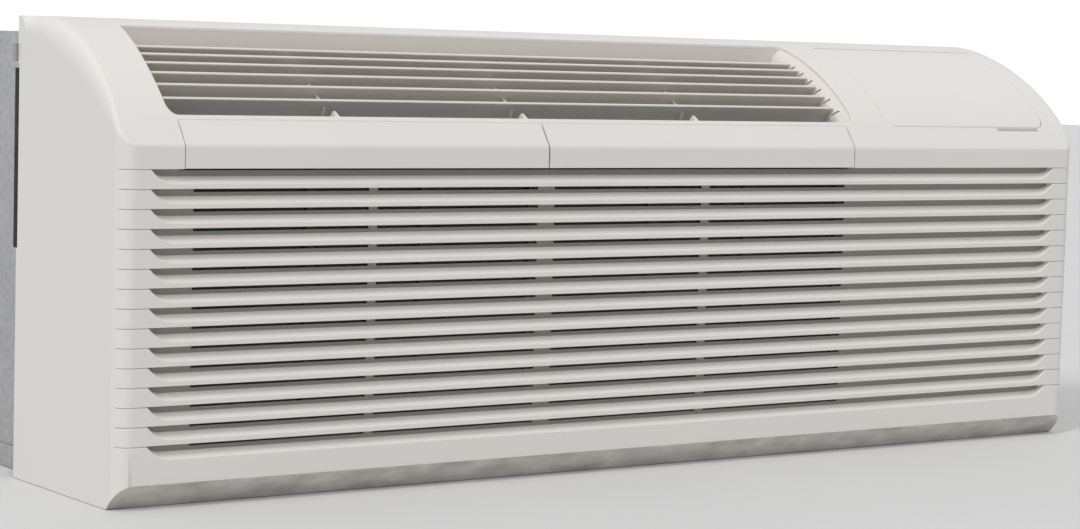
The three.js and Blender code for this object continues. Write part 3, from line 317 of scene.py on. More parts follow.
class Finish:
    """A material and the few nodes that every finish here is made of."""

    def __init__(self, name, color, roughness, metallic=0.0):
        self.material = bpy.data.materials.new(name)
        self.material.use_nodes = True
        self.tree = self.material.node_tree
        self.shader = self.tree.nodes["Principled BSDF"]
        self.shader.inputs["Base Color"].default_value = (*color, 1)
        self.shader.inputs["Roughness"].default_value = roughness
        self.shader.inputs["Metallic"].default_value = metallic
        self.color = color
        self.coordinates = self.tree.nodes.new("ShaderNodeTexCoord").outputs["Object"]

    def node(self, kind, **values):
        made = self.tree.nodes.new(kind)
        for key, value in values.items():
            if key in made.inputs:
                made.inputs[key].default_value = value
            else:
                setattr(made, key, value)
        return made

    def link(self, source, target):
        self.tree.links.new(source, target)

    def noise(self, scale, detail=3.0, stretch=(1, 1, 1)):
        spread = self.node("ShaderNodeMapping", Scale=stretch)
        self.link(self.coordinates, spread.inputs["Vector"])
        made = self.node("ShaderNodeTexNoise", Scale=scale, Detail=detail)
        self.link(spread.outputs["Vector"], made.inputs["Vector"])
        return made.outputs["Fac"]

    def wave(self, scale, direction="X", distortion=0.0):
        made = self.node("ShaderNodeTexWave", Scale=scale, Distortion=distortion)
        made.bands_direction = direction
        self.link(self.coordinates, made.inputs["Vector"])
        return made.outputs["Fac"]

    def cells(self, scale):
        made = self.node("ShaderNodeTexVoronoi", Scale=scale)
        self.link(self.coordinates, made.inputs["Vector"])
        return made.outputs["Distance"]

    def range(self, source, low, high, start=0.3, stop=0.7):
        made = self.node("ShaderNodeMapRange")
        for name, value in (("From Min", start), ("From Max", stop), ("To Min", low), ("To Max", high)):
            made.inputs[name].default_value = value
        self.link(source, made.inputs["Value"])
        return made.outputs["Result"]

    def tint(self, source, dark, light):
        """Base colour that varies with a texture, between two shares of the finish's own colour."""
        ramp = self.node("ShaderNodeValToRGB")
        for stop, share, position in ((0, dark, 0.3), (1, light, 0.7)):
            ramp.color_ramp.elements[stop].position = position
            ramp.color_ramp.elements[stop].color = (*(min(1, c * share) for c in self.color), 1)
        self.link(source, ramp.inputs["Fac"])
        self.link(ramp.outputs["Color"], self.shader.inputs["Base Color"])

    def rough(self, source, low, high):
        self.link(self.range(source, low, high), self.shader.inputs["Roughness"])

    def bump(self, source, distance, strength=1.0):
        made = self.node("ShaderNodeBump", Strength=strength, Distance=distance)
        self.link(source, made.inputs["Height"])
        self.link(made.outputs["Normal"], self.shader.inputs["Normal"])


def moulded_plastic(name, color, roughness, variation=0.02):
    """Fine-grained moulded plastic with slight cloudiness."""
    finish = Finish(name, color, roughness)
    fine = finish.noise(1500, 4)
    broad = finish.noise(4, 2)
    mixed = finish.node("ShaderNodeMath", operation="ADD")
    for source, share, socket in ((fine, 0.6, 0), (broad, 0.4, 1)):
        part = finish.node("ShaderNodeMath", operation="MULTIPLY")
        finish.link(source, part.inputs[0])
        part.inputs[1].default_value = share
        finish.link(part.outputs["Value"], mixed.inputs[socket])
    finish.tint(mixed.outputs["Value"], 1 - variation, 1 + variation)
    finish.rough(fine, roughness - 0.06, roughness + 0.06)
    finish.bump(finish.noise(1100, 3), 0.00003)
    return finish.material


def sheet_metal(name, color, roughness, metallic, spangle=170, variation=0.07):
    """Zinc-coated or plain sheet with spangle and fine rolling marks."""
    finish = Finish(name, color, roughness, metallic)
    spots = finish.cells(spangle)
    finish.tint(spots, 1 - variation, 1 + variation)
    finish.rough(finish.noise(25, 4), roughness - 0.08, roughness + 0.1)
    finish.bump(finish.noise(400, 3, (1, 1, 8)), 0.00003)
    return finish.material


def painted_metal(name, color, roughness):
    finish = Finish(name, color, roughness)
    peel = finish.noise(260, 2)
    finish.tint(finish.noise(12, 3), 0.8, 1.25)
    finish.rough(peel, roughness - 0.05, roughness + 0.08)
    finish.bump(peel, 0.00006)
    return finish.material


def drawn_copper(name, color):
    """Drawn tube with darker heat tints and light streaks along it."""
    finish = Finish(name, color, 0.32, 1.0)
    finish.tint(finish.noise(38, 4), 0.62, 1.15)
    finish.rough(finish.noise(160, 3), 0.24, 0.45)
    finish.bump(finish.noise(700, 2), 0.00002)
    return finish.material


def woven_mesh(name, color):
    """Open plastic weave of a filter, one thread every 1.3 mm."""
    finish = Finish(name, color, 0.75)
    threads = finish.node("ShaderNodeMath", operation="MAXIMUM")
    finish.link(finish.wave(240, "X"), threads.inputs[0])
    finish.link(finish.wave(240, "Z"), threads.inputs[1])
    finish.tint(threads.outputs["Value"], 0.25, 1.5)
    finish.bump(threads.outputs["Value"], 0.0003, 0.8)
    finish.rough(finish.noise(90, 2), 0.65, 0.85)
    return finish.material


def soft_black(name, color, roughness, grain):
    """Rubber, foam or matt black plastic."""
    finish = Finish(name, color, roughness)
    pores = finish.cells(grain)
    finish.tint(finish.noise(grain / 4, 3), 0.7, 1.4)
    finish.rough(pores, roughness - 0.05, roughness + 0.05)
    finish.bump(pores, 0.00008)
    return finish.material


def fin_stock(name, color):
    finish = Finish(name, color, 0.38, 0.85)
    finish.tint(finish.noise(30, 4), 0.8, 1.1)
    finish.rough(finish.noise(120, 3), 0.3, 0.5)
    finish.bump(finish.wave(180, "Z"), 0.0001, 0.5)
    return finish.material


def smoked_lens(name, color):
    finish = Finish(name, color, 0.12)
    finish.tint(finish.noise(8, 2), 0.9, 1.2)
    finish.rough(finish.noise(60, 3), 0.08, 0.16)
    finish.bump(finish.noise(1200, 2), 0.000004)
    return finish.material


def circuit_board(name, color):
    """Green lacquer with the faint relief of its tracks."""
    finish = Finish(name, color, 0.35)
    tracks = finish.node("ShaderNodeMath", operation="MULTIPLY")
    finish.link(finish.wave(90, "X", 2.0), tracks.inputs[0])
    finish.link(finish.wave(70, "Z", 2.0), tracks.inputs[1])
    finish.tint(tracks.outputs["Value"], 0.7, 1.8)
    finish.bump(tracks.outputs["Value"], 0.00005)
    finish.rough(finish.noise(50, 2), 0.28, 0.42)
    return finish.material


def painted_shade_kick(name, color):
    """Sloped underside of the cover's front, darker than the cover as painted shade, and mottled."""
    finish = Finish(name, color, 0.62)
    finish.tint(finish.noise(34, 5, (1, 1, 2.2)), 0.78, 1.2)
    finish.rough(finish.noise(300, 3), 0.55, 0.7)
    finish.bump(finish.noise(900, 4), 0.00005)
    return finish.material


COVER_COLOR = (0.79, 0.765, 0.74)
finish_of = {
    "cover": moulded_plastic("cover_plastic", COVER_COLOR, 0.5),
    "grille": moulded_plastic("grille_plastic", (0.74, 0.71, 0.665), 0.5),
    "panel": moulded_plastic("panel_plastic", (0.32, 0.31, 0.3), 0.6, 0.05),
    "button": moulded_plastic("button_plastic", (0.72, 0.7, 0.66), 0.42),
    "lens": smoked_lens("smoked_lens", (0.02, 0.022, 0.025)),
    "filter_mesh": woven_mesh("filter_weave", (0.09, 0.095, 0.1)),
    "foam": soft_black("foam", (0.03, 0.03, 0.03), 0.92, 700),
    "zinc": sheet_metal("zinc_sheet", (0.46, 0.475, 0.48), 0.45, 0.7),
    "steel": sheet_metal("plain_steel", (0.5, 0.5, 0.5), 0.35, 1.0, 300, 0.05),
    "fins": fin_stock("aluminium_fins", (0.62, 0.64, 0.65)),
    "copper": drawn_copper("copper_tube", (0.62, 0.28, 0.14)),
    "black_metal": painted_metal("black_paint", (0.025, 0.026, 0.028), 0.35),
    "black_plastic": soft_black("black_plastic", (0.03, 0.031, 0.033), 0.55, 900),
    "rubber": soft_black("rubber", (0.02, 0.02, 0.02), 0.8, 500),
    "board": circuit_board("circuit_board", (0.03, 0.11, 0.045)),
}
# painted shade: the recesses' upright backs get a darker plastic where the shadow under each recess ceiling
# falls
recess_painted_shade = moulded_plastic("recess_painted_shade_plastic", (0.31, 0.298, 0.28), 0.62, 0.06)
# painted shade: the kick faces look down, so their colour is made darker than the cover's
kick_painted_shade = painted_shade_kick("kick_painted_shade_plastic", (0.6, 0.575, 0.54))

# ---------------------------------------------------------------- cover


def cover_ring(depth, inset, bottom):
    """Outline of the cover across its width at one depth, an inset inside its outer surface."""
    start = DEPTH - CORNER
    radius = CORNER - inset
    reach = max(0.0, depth - start)
    edge = CORNER - math.sqrt(max(0.0, radius**2 - reach**2))
    rounding = [float(np.interp(depth, SIDE_ROUND[:, 0], SIDE_ROUND[:, column])) for column in (1, 2)]
    wide, drop = (max(LEAST_ROUND, size - inset) for size in rounding)
    top = surface(depth, inset)
    steps = 10
    angles = [math.pi / 2 * (1 - i / steps) for i in range(steps + 1)]
    half = [(edge, bottom)]
    half += [(edge + wide * (1 - math.sin(a)), top - drop * (1 - math.cos(a))) for a in angles]
    whole = half + [(WIDTH - x, z) for x, z in reversed(half)]
    return [(x, depth, z) for x, z in whole]


def cover_depths(limit):
    corner = [DEPTH - CORNER + CORNER * math.sin(math.radians(a)) for a in range(0, 90, 9)]
    flat = [0, 4, 7, 7.8, 8.5, 9.5, 10.5, 11.7, 13, 15, 17, 20, 25]
    line = [d for d, z in TOP_LINE if d > 0] + [d for d, z in KICK_LINE if d > 0]
    every = sorted(flat + corner + line)
    kept = [every[0]]
    for depth in every[1:]:
        if depth - kept[-1] > 0.05:
            kept.append(depth)
    return [d for d in kept if d <= limit]


def cover_block():
    rings = [cover_ring(d, 0, float(np.interp(d, *zip(*KICK_LINE)))) for d in cover_depths(DEPTH)]
    return Shape().loft(rings).make("front_cover_shell")


def cover_cavity():
    """Hollow inside the cover, up to the back of the louvres."""
    front = DEPTH - LOUVRE_DEPTH - LOUVRE_WALL
    slope = KICK_HEIGHT / KICK_DEPTH
    rise = WALL * math.hypot(1, slope) - (DEPTH - KICK_DEPTH) * slope
    depths = [HOLLOW_START] + cover_depths(front - 1) + [front]
    rings = [cover_ring(d, WALL, max(-10.0, d * slope + rise)) for d in depths]
    return Shape().loft(rings).make("cavity")


def rim_cutter(outline, radius, name):
    """Upright cutter through the cover's top, with a flare that rounds the rim it leaves."""
    rings = [[(x, d, LIP - OUTLET_FLOOR) for x, d in outline]]
    for step in range(5):
        angle = math.radians(22.5 * step)
        grown = offset_closed(outline, radius * (1 - math.cos(angle)))
        drop = radius * (1 - math.sin(angle)) - 0.02
        rings.append([(x, d, surface(d) - drop) for x, d in grown])
    rings.append([(x, d, ABOVE) for x, d in grown])
    return Shape().loft(rings).make(name)


def closed_outline(points):
    """Outline with its points no more than 6 mm apart, so that it follows the curved top."""
    dense = []
    for (x0, d0), (x1, d1) in zip(points, points[1:] + points[:1]):
        steps = max(1, math.ceil(abs(d1 - d0) / 6))
        dense += [(x0 + (x1 - x0) * i / steps, d0 + (d1 - d0) * i / steps) for i in range(steps)]
    return dense


def arc(x, depth, radius, start, stop, steps=6):
    angles = [math.radians(start + (stop - start) * i / steps) for i in range(steps + 1)]
    return [(x + radius * math.cos(a), depth + radius * math.sin(a)) for a in angles]


grille_x0, grille_x1, grille_back, grille_front, _, _ = mm_box("discharge_grille")
OUTLET_BACK = grille_back - 0.5
OUTLET_FRONT = grille_front + 0.9
OUTLET_RIGHT = grille_x1 + 0.3
OUTLET_LEFT = grille_x0 - 0.3
OUTLET_LEFT_BACK = OUTLET_LEFT + 10.5
OUTLET_CORNER = 8.0
OUTLET_RIM = 1.3


def outlet_left_edge():
    """Left side of the outlet from front to back, which drifts to the right as it goes back."""
    front = (OUTLET_LEFT, OUTLET_FRONT - OUTLET_CORNER)
    back = (OUTLET_LEFT_BACK, OUTLET_BACK + 1.5)
    return bezier([front, (OUTLET_LEFT, front[1] - 34), (OUTLET_LEFT + 5, back[1] + 41), back], 14)


def outlet_outline():
    front, corner = OUTLET_FRONT, OUTLET_CORNER
    right = OUTLET_RIGHT
    start = [(right - 1.5, OUTLET_BACK), (right, OUTLET_BACK + 1.5)]
    points = start + arc(right - corner, front - corner, corner, 0, 90)
    points += arc(OUTLET_LEFT + corner, front - corner, corner, 90, 180)[:-1]
    points += outlet_left_edge() + [(OUTLET_LEFT_BACK + 1.5, OUTLET_BACK)]
    return closed_outline(points)


door_x0, door_x1, door_back, door_front, _, _ = mm_box("control_door")
DOOR_GAP = 0.5
DOOR_HINGE_GAP = 2.0  # more room behind the hinge, where the door's edge swings down
DOOR_RIM = 0.7  # rounding of the opening's rim and of the door's own edge
DOOR_WALL = 2.5


def door_outline(grow, behind=0.0):
    """Outline of the control door, grown all round and a little more behind its hinge."""
    x0, x1 = door_x0 - grow, door_x1 + grow
    back, front = door_back - grow - behind, door_front + grow
    corner = 10 + grow
    points = [(x0 + 1, back), (x1 - 1, back), (x1, back + 1)]
    points += arc(x1 - corner, front - corner, corner, 0, 90)
    points += arc(x0 + corner, front - corner, corner, 90, 180)
    points += [(x0, back + 1)]
    return closed_outline(points)


handle_left = mm_box("filter_handle_left")
handle_right = mm_box("filter_handle_right")


def handle_cutter():
    """Opening for both filter handles."""
    x0, x1 = handle_left[0] - HANDLE_GAP, handle_right[1] + HANDLE_GAP
    shape = Shape().box(x0, x1, LIP_DEPTH, DEPTH + 2, LOUVRE_TOP - 0.1, LIP + 12)
    return shape.make("handle_opening")


def handle_slot_cutter():
    """Slit through the back of the top recess, along the handles' lower edges."""
    x0, x1 = handle_left[0] - 1.5, handle_right[1] - 1
    back = DEPTH - LOUVRE_DEPTH
    shape = Shape().box(x0, x1, back - 4, back + 0.6, LOUVRE_TOP - 1.3, LOUVRE_TOP + 0.6)
    return shape.make("handle_slot")


def recess_section(height, back, depth, lip):
    """Section of a louvre recess: distance out of the face, and height above the recess's top edge."""
    slope = fillet((-depth, -back), (0, -height), (0, -height - 5), lip, 3)
    slope[-1] = (0.02, slope[-1][1])
    return [(1.5, 0), (-depth, 0), (-depth, -back)] + slope + [(1.5, slope[-1][1])]


def recess_stations():
    """Along a recess from the left edge to the right one: place, direction out, height, back, depth, lip."""

    def ease(share, power):
        return 1 - (1 - min(1.0, max(0.0, share))) ** power

    def shape_at(run):
        height = max(GROOVE, LOUVRE_DROP * ease(run / RECESS_SWEEP, 2.2))
        back = max(0.35, LOUVRE_BACK * ease(run / 16, 2.2))
        depth = max(GROOVE_DEPTH, LOUVRE_DEPTH * ease(run / 8, 3))
        lip = 0.7 + 0.5 * min(1.0, max(0.0, run / 8))
        return height, back, depth, lip

    runs = [0, 0.6, 1.3, 2.2, 3.3, 4.6, 6.2, 8, 10, 12.5, 15.5, 18.5, 20.5, RECESS_SWEEP]
    stations = []
    for angle in (70, 66, 58, 46, 34, 22, 10, 0):
        a = math.radians(angle)
        taper = min(1.0, (70 - angle) / 12 + 0.12)
        sizes = [size * taper for size in shape_at(-1)]
        x, d = CORNER * (1 - math.sin(a)), DEPTH - CORNER * (1 - math.cos(a))
        stations.append(((x, d), (-math.sin(a), math.cos(a)), *sizes))
    mirrored = [((WIDTH - x, d), (-nx, nd), *rest) for (x, d), (nx, nd), *rest in reversed(stations)]
    left_end = [((RECESS_LEFT + run, DEPTH), (0, 1), *shape_at(run)) for run in runs]
    right_end = [((RECESS_RIGHT - run, DEPTH), (0, 1), *shape_at(run)) for run in reversed(runs)]
    return stations + left_end + right_end + mirrored


def recess_cutter():
    shape = Shape()
    for row in range(LOUVRE_ROWS):
        top = LOUVRE_TOP - row * LOUVRE_PITCH
        rings = []
        for (x, d), (nx, nd), *sizes in recess_stations():
            rings.append([(x + out * nx, d + out * nd, top + z) for out, z in recess_section(*sizes)])
        shape.loft(rings)
    return shape.make("recesses")


SLIT_HEIGHT = 3.0
SLIT_DROP = 0.15  # below a recess's top edge
SLIT_BAYS = [(68, 234.5), (242, 408.3), (425, 591.8), (600.2, 767)]


def slit_cutter():
    """Slits through the backs of all recesses but the top one, in four bays."""
    shape = Shape()
    back = DEPTH - LOUVRE_DEPTH
    for row in range(1, LOUVRE_ROWS):
        top = LOUVRE_TOP - row * LOUVRE_PITCH - SLIT_DROP
        for x0, x1 in SLIT_BAYS:
            shape.box(x0, x1, back - 3.5, back + 0.5, top - SLIT_HEIGHT, top)
    return shape.make("slits")


UNHOOK_RADIUS = 13.0


def notch_cutter():
    """Unhooking notch in the rear edge, finger notch in front of the door, relief for the edge gaskets."""
    clip = mm_box("cover_clip")
    shape = Shape()
    low, high = HEIGHT - 8, HEIGHT + 3
    disc = [(0.1, low), (UNHOOK_RADIUS, low), (UNHOOK_RADIUS, high), (0.1, high)]
    shape.turned(disc, (clip[0] + clip[1]) / 2, 0, 40)
    shape.box(door_x1 - 69, door_x1 - 12, door_front - 3, door_front + 2.9, LIP - 9, LIP + 12)
    for x in (0, WIDTH):
        shape.box(x - 9, x + 9, -2, 2.2, HEIGHT / 2, HEIGHT - 40)
    return shape.make("notches")


def cover_mark(centre, normal):
    """Which finish a face of the cover has: 1 on the kick, 2 on the recesses' upright backs, else 0; both 1
    and 2 are darker for painted shade.
    """
    kick_top = cover_low.z + (KICK_HEIGHT + 0.5) * MM
    if centre.z < kick_top:
        return 1 if normal.z < -0.3 and normal.y < -0.3 else 0
    in_louvres = kick_top < centre.z < LOUVRE_TOP * MM
    between_ends = place(RECESS_LEFT, 0, 0).x < centre.x < place(RECESS_RIGHT, 0, 0).x
    sunken = centre.y > place(0, DEPTH - 0.6, 0).y
    upright = normal.y < -0.7 and abs(normal.z) < 0.3
    return 2 if in_louvres and between_ends and sunken and upright else 0


def make_cover():
    cover = cover_block()
    carve(cover, cover_cavity())
    carve(cover, recess_cutter())
    carve(cover, slit_cutter())
    carve(cover, rim_cutter(outlet_outline(), OUTLET_RIM, "outlet"))
    carve(cover, rim_cutter(door_outline(DOOR_GAP, DOOR_HINGE_GAP), DOOR_RIM, "door_opening"))
    carve(cover, handle_cutter())
    carve(cover, handle_slot_cutter())
    carve(cover, notch_cutter())
    for face in cover.data.polygons:
        face.material_index = cover_mark(face.center, face.normal)
    shade(cover)
    finishes = [finish_of["cover"], kick_painted_shade, recess_painted_shade]
    piece(cover, "chassis", finishes, ["front_cover"])


# ---------------------------------------------------------------- outlet grille

BLADE_FIRST = 95.0
BLADE_PITCH = 13.1
BLADE_SINK = 7.0
BLADE_CHORD = 24.0
BLADE_TILT = math.radians(50)
BLADES = 6
BLADE_DEPTHS = [BLADE_FIRST + i * BLADE_PITCH for i in range(BLADES)]
RIBS = [208.0, 400.0, 592.0]
RIB_THICKNESS = 2.8
RIB_SINK = 11.0  # ribs behind the blades' front edges
FLARE = 12.5  # width of the sloped right wall
LINER_WALL = 2.0
LINER_SINK = 3.25  # top of the outlet's walls below the cover's surface


def outlet_left_at(depth):
    line = sorted((d, x) for x, d in outlet_left_edge())
    return float(np.interp(depth, *zip(*line)))


def blade_outline(depth):
    """Section of one blade: a bowed sheet with a thicker rounded front edge."""
    tip = np.array([depth, surface(depth) - BLADE_SINK])
    along = np.array([-math.cos(BLADE_TILT), -math.sin(BLADE_TILT)])
    across = np.array([along[1], -along[0]])
    upper, lower = [], []
    bead = [(0.0, 0.6), (0.012, 1.15), (0.035, 1.55), (0.07, 1.55), (0.1, 1.3), (0.14, 1.0)]
    for share, thick in bead + [(0.3, 0.95), (0.5, 0.9), (0.75, 0.8), (0.97, 0.7), (1.0, 0.4)]:
        centre = tip + along * BLADE_CHORD * share + across * 1.6 * math.sin(math.pi * share)
        upper.append(tuple(centre + across * thick))
        lower.append(tuple(centre - across * thick))
    return upper + lower[::-1]


def liner():
    """Walls of the outlet below the cover's rim."""
    inner = outlet_outline()
    outer = offset_closed(inner, LINER_WALL)
    low = LIP - 15
    outside, inside = ([(x, d, surface(d) - LINER_SINK) for x, d in line] for line in (outer, inner))
    rings = [[(x, d, low) for x, d in outer], outside, inside, [(x, d, low) for x, d in inner]]
    count = len(inner)
    shape = Shape()
    for row, ring in enumerate(rings):
        shape.points.extend(ring)
        below, above = row * count, (row + 1) % len(rings) * count
        for i in range(count):
            j = (i + 1) % count
            shape.faces.append((below + i, below + j, above + j, above + i))
    return shade(shape.make("walls"))


SLOT_SLANT = 48.0
SLOT_REACH = 3.0  # from a slot's middle to the centre of its round end
SLOT_HALF = 0.9


def flare():
    """Sloped right wall of the outlet, with the slots left beside the blades' ends."""
    right = OUTLET_RIGHT
    profile = [(right - 0.1, -3.3), (right - 4, -5.2), (right - 8, -8.6), (right - 11, -13)]
    profile += [(right - FLARE, -19), (right - FLARE, -46), (right - 0.1, -46)]
    depths = [OUTLET_BACK + 0.5 + (OUTLET_FRONT - OUTLET_BACK - 9) * i / 18 for i in range(19)]
    depths += [OUTLET_FRONT - 5, OUTLET_FRONT - 2.4, OUTLET_FRONT - 0.6]
    wall = Shape().loft([[(x, d, surface(d) + z) for x, z in profile] for d in depths]).make("flare")
    slots = Shape()
    slant = math.radians(SLOT_SLANT)
    for blade in BLADE_DEPTHS:
        depth = blade + 1.0
        height = surface(depth) - BLADE_SINK - 5.0
        outline = []
        for side, start in ((1, SLOT_SLANT - 90), (-1, SLOT_SLANT + 90)):
            middle = side * SLOT_REACH * math.cos(slant), side * SLOT_REACH * math.sin(slant)
            outline += arc(depth + middle[0], height + middle[1], SLOT_HALF, start, start + 180)
        slots.prism_x(outline, right - FLARE - 2, right - 2)
    return shade(carve(wall, slots.make("slots")))


def blades():
    shape = Shape()
    for depth in BLADE_DEPTHS:
        left = outlet_left_at(depth) - 0.6
        shape.prism_x(blade_outline(depth), left, OUTLET_RIGHT - FLARE + 1.5)
    return shade(shape.make("vanes"), 50)


def level_ring(x, half, depth0, depth1, height):
    """Rectangle at one height, centred on x."""
    corners = [(x - half, depth0), (x + half, depth0), (x + half, depth1), (x - half, depth1)]
    return [(x, d, height) for x, d in corners]


def ribs_and_feet():
    """Stiffeners below the blades, each with a pointed foot that stands up behind the lip."""
    first, last = BLADE_DEPTHS[0], BLADE_DEPTHS[-1]
    low = LIP - 12
    shape = Shape()
    for x in RIBS:
        tops = [first - 8, (first + last) / 2 - 4, last - 5]
        line = [(d, surface(d) - BLADE_SINK - RIB_SINK) for d in tops] + [(last - 14, low)]
        line += [(d, surface(d) - BLADE_SINK - 27) for d in (last - 12, first - 12)]
        shape.prism_x(line, x - RIB_THICKNESS / 2, x + RIB_THICKNESS / 2)
        shape.loft([
            level_ring(x, 3.6, 167, OUTLET_FRONT + 0.5, low),
            level_ring(x, 3.4, 168, OUTLET_FRONT + 0.3, LIP + 1),
            level_ring(x, 0.5, 170, 172.5, LIP + 7.4),
        ])
    return shade(soften(shape.make("ribs"), 0.4))


def make_grille():
    parts = [liner(), flare(), blades(), ribs_and_feet()]
    whole = join_pieces("outlet_grille", parts)
    piece(whole, "chassis", [finish_of["grille"]], ["discharge_grille"])


def join_pieces(name, things):
    """One object from several. Their shading is kept, but which finish each face had is not."""
    with bpy.context.temp_override(active_object=things[0], selected_editable_objects=things):
        bpy.ops.object.join()
    things[0].name = name
    return things[0]


# ---------------------------------------------------------------- door and handles


LUG_WIDTH = 12.0


def make_door():
    """Curved door with rounded edges, cut from the cover's own outer surface."""
    door = cover_block()
    door.name = "control_door_panel"
    outline = door_outline(0)
    rings = [[(x, d, LIP - OUTLET_FLOOR - 10) for x, d in outline]]
    for step in range(4):
        angle = math.radians(30 * step)
        shrunk = offset_closed(outline, -DOOR_RIM * (1 - math.cos(angle)))
        drop = DOOR_RIM * (1 - math.sin(angle)) - 0.02
        rings.append([(x, d, surface(d) - drop) for x, d in shrunk])
    rings.append([(x, d, ABOVE) for x, d in shrunk])
    carve(door, Shape().loft(rings).make("column"), "INTERSECT")
    inner = [cover_ring(d, DOOR_WALL, -20) for d in [HOLLOW_START] + cover_depths(DEPTH - 3)]
    carve(door, Shape().loft(inner).make("inside"))
    hinge_depth = door_back + 3
    hinge_height = surface(hinge_depth) - 6
    lug = arc(hinge_depth, hinge_height, 3.2, 180, 360, 9)
    lug += [(hinge_depth + 4, hinge_height + 4), (hinge_depth - 2.8, hinge_height + 4)]
    lugs = Shape()
    for x in (door_x0 + 1, door_x1 - 1 - LUG_WIDTH):
        lugs.prism_x(lug, x, x + LUG_WIDTH)
    whole = join_pieces("control_door_panel", [shade(door), shade(lugs.make("lugs"))])
    piece(whole, "door", [finish_of["cover"]], ["control_door"])


HANDLE_WALL = 2.6
HANDLE_SHORTER = 0.7  # at each end, so that the joints beside a handle show


def make_handle(name, node, body):
    """Filter handle: a thin shell that carries the sloped band and the apron below it."""
    x0, x1, _, _, low, high = mm_box(node)
    x0, x1 = x0 + HANDLE_SHORTER, x1 - HANDLE_SHORTER
    outer = [(LIP_DEPTH + 0.4, LIP - 0.4 * BAND_RISE / BAND_RUN)]
    outer += fillet((LIP_DEPTH, LIP), (DEPTH, RIDGE), (DEPTH, 0), RIDGE_ROUND, 5)
    outer += [(DEPTH, low)]
    slope = math.hypot(BAND_RUN, BAND_RISE)
    inner_top = outer[0][1] - HANDLE_WALL * slope / BAND_RUN
    inner_face = DEPTH - HANDLE_WALL
    inner = [(inner_face, low), (inner_face, RIDGE - 0.9), (LIP_DEPTH + 0.4, inner_top)]
    handle = Shape().prism_x(outer + inner, x0, x1).make(name)
    soften(handle, 0.45, 3, 32)
    shade(handle)
    piece(handle, body, [finish_of["cover"]], [node])


# ---------------------------------------------------------------- other pieces


def refine(node, width):
    """A welded copy of a CAD node with its sharp edges rounded and its curved faces smooth."""
    source = nodes[node]
    mesh = bpy.data.meshes.new(node + "_fine")
    edit = bmesh.new()
    edit.from_mesh(source.data)
    bmesh.ops.remove_doubles(edit, verts=edit.verts, dist=2e-6)
    bmesh.ops.dissolve_limit(edit, angle_limit=math.radians(1), verts=edit.verts, edges=edit.edges)
    bmesh.ops.recalc_face_normals(edit, faces=edit.faces)
    edit.to_mesh(mesh)
    edit.free()
    if "custom_normal" in mesh.attributes:
        mesh.attributes.remove(mesh.attributes["custom_normal"])
    thing = bpy.data.objects.new(node + "_fine", mesh)
    bpy.context.scene.collection.objects.link(thing)
    if width:
        soften(thing, width)
    shade(thing)
    slot = slot_of[node]
    piece(thing, body_of[node], [finish_of[slot]], [node])


FIN_PITCH = 2.5
FIN_THICKNESS = 0.35
END_PLATE = 1.6
BEND_REACH = 21.0  # from a coil's end to its end plate
TUBE_RADIUS = 4.6
TUBE_RISE = 25.0
TUBE_END = 4.0  # straight end of a tube beyond the end plate


def return_bend(x, out, depth, height):
    """Half turn from one tube's end to the end of the next tube above it."""
    path = []
    for k in range(9):
        turn = math.pi * k / 8
        reach = TUBE_END + 11 * math.sin(turn)
        path.append((x + out * reach, depth, height + TUBE_RISE / 2 * (1 - math.cos(turn))))
    return path


def make_coil(name, node, columns):
    """Fins on tubes between two end plates, with return bends at both ends."""
    x0, x1, d0, d1, z0, z1 = mm_box(node)
    x0, x1 = x0 + BEND_REACH, x1 - BEND_REACH
    fins = Shape()
    for i in range(int((x1 - x0 - 8) / FIN_PITCH)):
        x = x0 + 4 + i * FIN_PITCH
        fins.box(x, x + FIN_THICKNESS, d0 + 1, d1 - 1, z0 + 2, z1 - 2)
    plates = Shape()
    for x in (x0, x1 - END_PLATE):
        plates.box(x, x + END_PLATE, d0, d1, z0, z1)
    tubes = Shape()
    rows = int((z1 - z0 - 14) / TUBE_RISE)
    for column in range(columns):
        depth = d0 + (d1 - d0) * (column + 0.5) / columns
        for row in range(rows + 1):
            height = z0 + 12 + row * TUBE_RISE
            tubes.tube([(x0 - TUBE_END, depth, height), (x1 + TUBE_END, depth, height)], TUBE_RADIUS)
            if row < rows:
                x, out = (x0, -1) if row % 2 == 0 else (x1, 1)
                tubes.tube(return_bend(x, out, depth, height), TUBE_RADIUS)
    parts = [fins.make("fins"), plates.make("plates"), shade(tubes.make("tubes"))]
    whole = join_pieces(name, parts)
    piece(whole, body_of[node], [finish_of["fins"]], [node])


def build_object():
    make_cover()
    make_grille()
    make_door()
    make_handle("left_filter_handle", "filter_handle_left", "filter_left")
    make_handle("right_filter_handle", "filter_handle_right", "filter_right")
    make_coil("outdoor_coil_fins", "outdoor_coil", 2)
    make_coil("indoor_coil_fins", "indoor_coil", 2)
    built = {"front_cover", "discharge_grille", "control_door", "filter_handle_left", "filter_handle_right",
             "outdoor_coil", "indoor_coil"}
    fine_edges = {"filter_mesh_left": 0, "filter_mesh_right": 0, "capillary_tube": 0, "heater_element": 0}
    for node in sorted(nodes):
        if node not in built:
            refine(node, fine_edges.get(node, 0.35))


# ---------------------------------------------------------------- stage, light and camera


def make_floor():
    """Plain pale floor."""
    finish = Finish("floor_paint", (0.68, 0.68, 0.68), 0.85)
    finish.tint(finish.noise(3, 2), 0.99, 1.01)
    mesh = bpy.data.meshes.new("floor")
    half = 12.0
    level = cad_bounds[0].z - 0.5 * MM
    corners = [(-half, -half, level), (half, -half, level), (half, half, level), (-half, half, level)]
    mesh.from_pydata(corners, [], [(0, 1, 2, 3)])
    mesh.materials.append(finish.material)
    floor = bpy.data.objects.new("floor", mesh)
    bpy.context.scene.collection.objects.link(floor)


